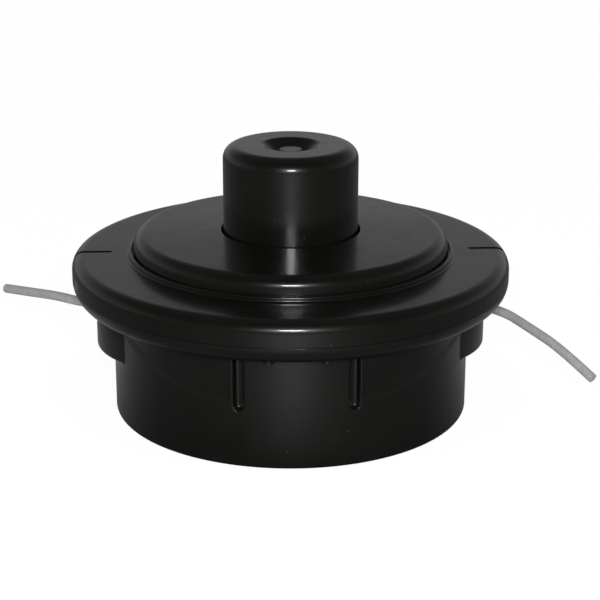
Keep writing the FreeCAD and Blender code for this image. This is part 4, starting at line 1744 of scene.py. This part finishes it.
@dataclass(frozen=True)
class StageShade:
    """White satin stage: how bright it looks to each kind of ray, over its plain lit colour."""

    name: str = "white_stage"
    colour: float = 0.85
    to_camera: float = 0.93
    # Painted reflection: to glossy rays the floor glows, paler behind the head than in front of it and
    # darker farther out.
    to_gloss: tuple[float, float] = (0.065, 0.27)
    gloss_span: tuple[float, float] = (-0.03, 0.03)
    gloss_reach: tuple[float, float] = (0.075, 0.115)
    to_glass: float = 0.8
    lit_share: float = 0.16
    # Painted reflection: the small share of the floor's lit colour that glossy rays see.
    mirrored_share: float = 0.03
    satin: float = 0.27
    satin_roughness: float = 0.6
    # Painted contact shade: the floor's satin reflection is held dark within this distance of the axis and
    # rises to full beyond it.
    painted_shade_span: tuple[float, float] = (0.046, 0.095)

    def material(self) -> bpy.types.Material:
        """Mix the stage's surface.

        Returns:
            The material.
        """
        made = bpy.data.materials.new(self.name)
        made.use_nodes = True
        tree = made.node_tree
        tree.nodes.clear()
        rays = tree.nodes.new("ShaderNodeLightPath")
        camera = Shading.maths(tree, "MULTIPLY", rays.outputs["Is Camera Ray"], self.to_camera)
        place = tree.nodes.new("ShaderNodeTexCoord").outputs["Object"]
        depth = Shading.node(tree, "ShaderNodeSeparateXYZ", Vector=place).outputs["Y"]
        away = tree.nodes.new("ShaderNodeVectorMath")
        away.operation = "LENGTH"
        tree.links.new(place, away.inputs[0])
        # Painted reflection: the floor's glow to glossy rays, paler towards the back and darker far from the
        # head.
        paler = Shading.spread(tree, depth, *self.gloss_span, *self.to_gloss)
        darker = Shading.spread(tree, away.outputs["Value"], *self.gloss_reach, *reversed(self.to_gloss))
        paler = Shading.maths(tree, "MINIMUM", paler, darker)
        gloss = Shading.maths(tree, "MULTIPLY", rays.outputs["Is Glossy Ray"], paler)
        glass = Shading.maths(tree, "MULTIPLY", rays.outputs["Is Transmission Ray"], self.to_glass)
        shine = Shading.maths(tree, "ADD", Shading.maths(tree, "ADD", camera, gloss), glass)
        glow = Shading.node(tree, "ShaderNodeEmission", Color=WHITE, Strength=shine)
        shaded = self.colour * self.lit_share
        seen = Shading.spread(tree, rays.outputs["Is Camera Ray"], 0.0, 1.0, self.colour, shaded)
        # Painted reflection: glossy rays see the floor's lit colour only dimly.
        mirrored = Shading.spread(tree, rays.outputs["Is Glossy Ray"], 0.0, 1.0, 1.0, self.mirrored_share)
        matt = Shading.maths(tree, "MULTIPLY", seen, mirrored)
        plain = Shading.node(tree, "ShaderNodeBsdfDiffuse", Color=matt)
        # Painted contact shade: the satin sheen that glossy rays see fades to nothing near the head.
        satin_past_painted_shade = Shading.spread(tree, away.outputs["Value"], *self.painted_shade_span, 0.0, self.satin)
        sheen = Shading.maths(tree, "MULTIPLY", rays.outputs["Is Glossy Ray"], satin_past_painted_shade)
        satin = Shading.node(tree, "ShaderNodeBsdfAnisotropic", Color=sheen, Roughness=self.satin_roughness)
        lit = self._sum(tree, plain, satin)
        out = tree.nodes.new("ShaderNodeOutputMaterial")
        tree.links.new(self._sum(tree, glow, lit).outputs["Shader"], out.inputs["Surface"])
        return made

    @staticmethod
    def _sum(tree: bpy.types.NodeTree, first: bpy.types.Node, second: bpy.types.Node) -> bpy.types.Node:
        """Add two shaders.

        Args:
            tree: The material's tree.
            first: First shader.
            second: Second shader.

        Returns:
            The node that adds them.
        """
        both = tree.nodes.new("ShaderNodeAddShader")
        tree.links.new(first.outputs[0], both.inputs[0])
        tree.links.new(second.outputs[0], both.inputs[1])
        return both


@dataclass
class Studio:
    """White floor, soft surroundings with a bright horizon, and a flash above the lens."""

    floor_half: float = 2.4
    floor_drop: float = 0.0001
    floor_shade: StageShade = StageShade()
    world_light: float = 0.4
    horizon_gloss: float = 0.385
    ceiling_gloss: float = 0.09
    horizon_top: float = 12.0
    horizon_end: float = 40.0
    room_gloss: float = 0.35
    room_span: tuple[float, float] = (-0.6, 0.2)
    flash_place: tuple[float, float, float] = (-0.009, -0.425, 0.2)
    flash_size: tuple[float, float] = (0.09, 0.03)
    flash_power: float = 1.15
    flash_aim: tuple[float, float, float] = (0.0, 0.0, 0.035)

    def build(self) -> None:
        """Set up the stage and the lights."""
        half = self.floor_half
        data = bpy.data.meshes.new("studio_floor")
        corners = [(x * half, y * half, -self.floor_drop) for x, y in ((-1, -1), (1, -1), (1, 1), (-1, 1))]
        data.from_pydata(corners, [], [tuple(range(len(corners)))])
        data.materials.append(self.floor_shade.material())
        floor = add_object("studio_floor", data)
        self._world()
        self._flash()

    def _world(self) -> None:
        """Surround the stage with soft light that gloss sees as a bright horizon under a dark ceiling."""
        world = bpy.data.worlds.new("studio_surroundings")
        bpy.context.scene.world = world
        world.use_nodes = True
        tree = world.node_tree
        rays = tree.nodes.new("ShaderNodeLightPath")
        ahead = tree.nodes.new("ShaderNodeTexCoord").outputs["Generated"]
        parts = Shading.node(tree, "ShaderNodeSeparateXYZ", Vector=ahead)
        height = parts.outputs["Z"]
        low, high = (math.sin(math.radians(angle)) for angle in (self.horizon_top, self.horizon_end))
        mirrored = Shading.spread(tree, height, low, high, self.horizon_gloss, self.ceiling_gloss)
        room = Shading.spread(tree, parts.outputs["Y"], *self.room_span, self.room_gloss, 1.0)
        mirrored = Shading.maths(tree, "MULTIPLY", mirrored, room)
        grey = Shading.spread(tree, rays.outputs["Is Glossy Ray"], 0.0, 1.0, self.world_light, mirrored)
        seen = Shading.maths(
            tree, "MAXIMUM", rays.outputs["Is Camera Ray"], rays.outputs["Is Transmission Ray"]
        )
        strength = Shading.maths(tree, "MAXIMUM", grey, seen)
        tree.links.new(strength, tree.nodes["Background"].inputs["Strength"])
        tree.nodes["Background"].inputs["Color"].default_value = WHITE

    def _flash(self) -> None:
        """Hang a wide lamp that looks at the head."""
        data = bpy.data.lights.new("camera_flash", "AREA")
        data.shape = "RECTANGLE"
        data.size, data.size_y = self.flash_size
        data.energy = self.flash_power
        lamp = add_object("camera_flash", data)
        lamp.location = self.flash_place
        look = Vector(self.flash_aim) - lamp.location
        lamp.rotation_euler = look.to_track_quat("-Z", "Y").to_euler()


@dataclass
class PhotoCamera:
    """The camera, placed as the photograph was taken."""

    distance: float = 440.0
    elevation: float = 17.83
    azimuth: float = -1.9
    roll: float = 0.1
    middle_height: float = 36.0
    shift_right: float = 2.36
    shift_up: float = -8.63
    lens: float = 104.07
    sensor: float = 36.0

    def build(self) -> None:
        """Add the camera and make it the scene's own."""
        around = math.radians(self.azimuth)
        above = math.radians(self.elevation)
        ahead = Vector((-math.sin(around), math.cos(around), 0.0))
        right = Vector((math.cos(around), math.sin(around), 0.0))
        look = ahead * math.cos(above) - Vector((0.0, 0.0, math.sin(above)))
        up = right.cross(look)
        middle = Vector((0.0, 0.0, self.middle_height))
        place = middle - look * self.distance
        aim = middle + right * self.shift_right + up * self.shift_up - place
        data = bpy.data.cameras.new("photo_camera")
        data.lens = self.lens
        data.sensor_width = self.sensor
        camera = add_object("photo_camera", data)
        camera.location = place * MM
        facing = aim.to_track_quat("-Z", "Y").to_matrix()
        rolled = Matrix.Rotation(math.radians(self.roll), 3, -aim) @ facing
        camera.rotation_euler = rolled.to_euler()
        bpy.context.scene.camera = camera


class TrimmerHead:
    """The whole head: builds each piece, dresses it and fixes it to its body."""

    def __init__(self, nodes: dict[str, bpy.types.Object]) -> None:
        """Read the sizes and mix the finishes.

        Args:
            nodes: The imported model's nodes.
        """
        self.nodes = nodes
        self.sizes = HeadSizes.from_frame()
        self.finishes = Finishes()

    def build(self) -> None:
        """Build every piece."""
        finishes = self.finishes
        cover = Cover(self.sizes)
        eyelets = Eyelets(self.sizes)
        for tail in (LEFT_TAIL, RIGHT_TAIL):
            self._fix(tail.build(), tail.node, Body.HOUSING, finishes.line)
        self._fix(Housing(self.sizes).build(), "housing", Body.HOUSING, finishes.cup)
        self._fix(cover.build_rim(), "cover_rim", Body.HOUSING, finishes.cover)
        self._fix(cover.build_disc(), "cover_disc", Body.HOUSING, finishes.cover)
        self._fix(Knob(self.sizes).build(), "bump_knob", Body.SPOOL, finishes.knob)
        right = eyelets.build("right_metal_eyelet", Eyelets.RIGHT)
        self._fix(right, "right_eyelet", Body.HOUSING, finishes.steel)
        left = eyelets.build("left_metal_eyelet", Eyelets.LEFT)
        self._fix(left, "left_eyelet", Body.HOUSING, finishes.steel)
        self._fix(ArborNut().build(), "arbor_nut", Body.HOUSING, finishes.nut)
        self._fix_spring()
        self._dress("spool", finishes.spool)
        self._dress("upper_line_winding", finishes.line)
        self._dress("lower_line_winding", finishes.line)
        self._dress("lower_spring_washer", finishes.steel)
        self._dress("thrust_washer", finishes.steel)

    def _fix(
        self, piece: bpy.types.Object, node: str, body: Body, finish: bpy.types.Material
    ) -> None:
        """Dress a piece and let it stand for its solid.

        Args:
            piece: The piece.
            node: Name of the solid that it replaces.
            body: The body that it moves with.
            finish: Its material.
        """
        piece.data.materials.clear()
        piece.data.materials.append(finish)
        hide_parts(node)
        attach(piece, body.value)
        LOG.info("%s stands for %s on %s", piece.name, node, body.value)

    def _fix_spring(self) -> None:
        """Add the spring and give it its own mesh."""
        spring = BumpSpring().build()
        self._fix(spring, "spring", Body.HOUSING, self.finishes.spring)
        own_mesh(spring)

    def _dress(self, node: str, finish: bpy.types.Material) -> None:
        """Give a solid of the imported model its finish.

        Args:
            node: Name of the solid.
            finish: Its material.
        """
        for slot in self.nodes[node].material_slots:
            slot.material = finish
        LOG.info("%s keeps its solid", node)


def main() -> None:
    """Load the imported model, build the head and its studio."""
    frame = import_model()
    bpy.context.scene.view_settings.view_transform = "Standard"
    PhotoCamera().build()
    TrimmerHead(frame["nodes"]).build()
    Studio().build()


if __name__ == "__main__":
    main()
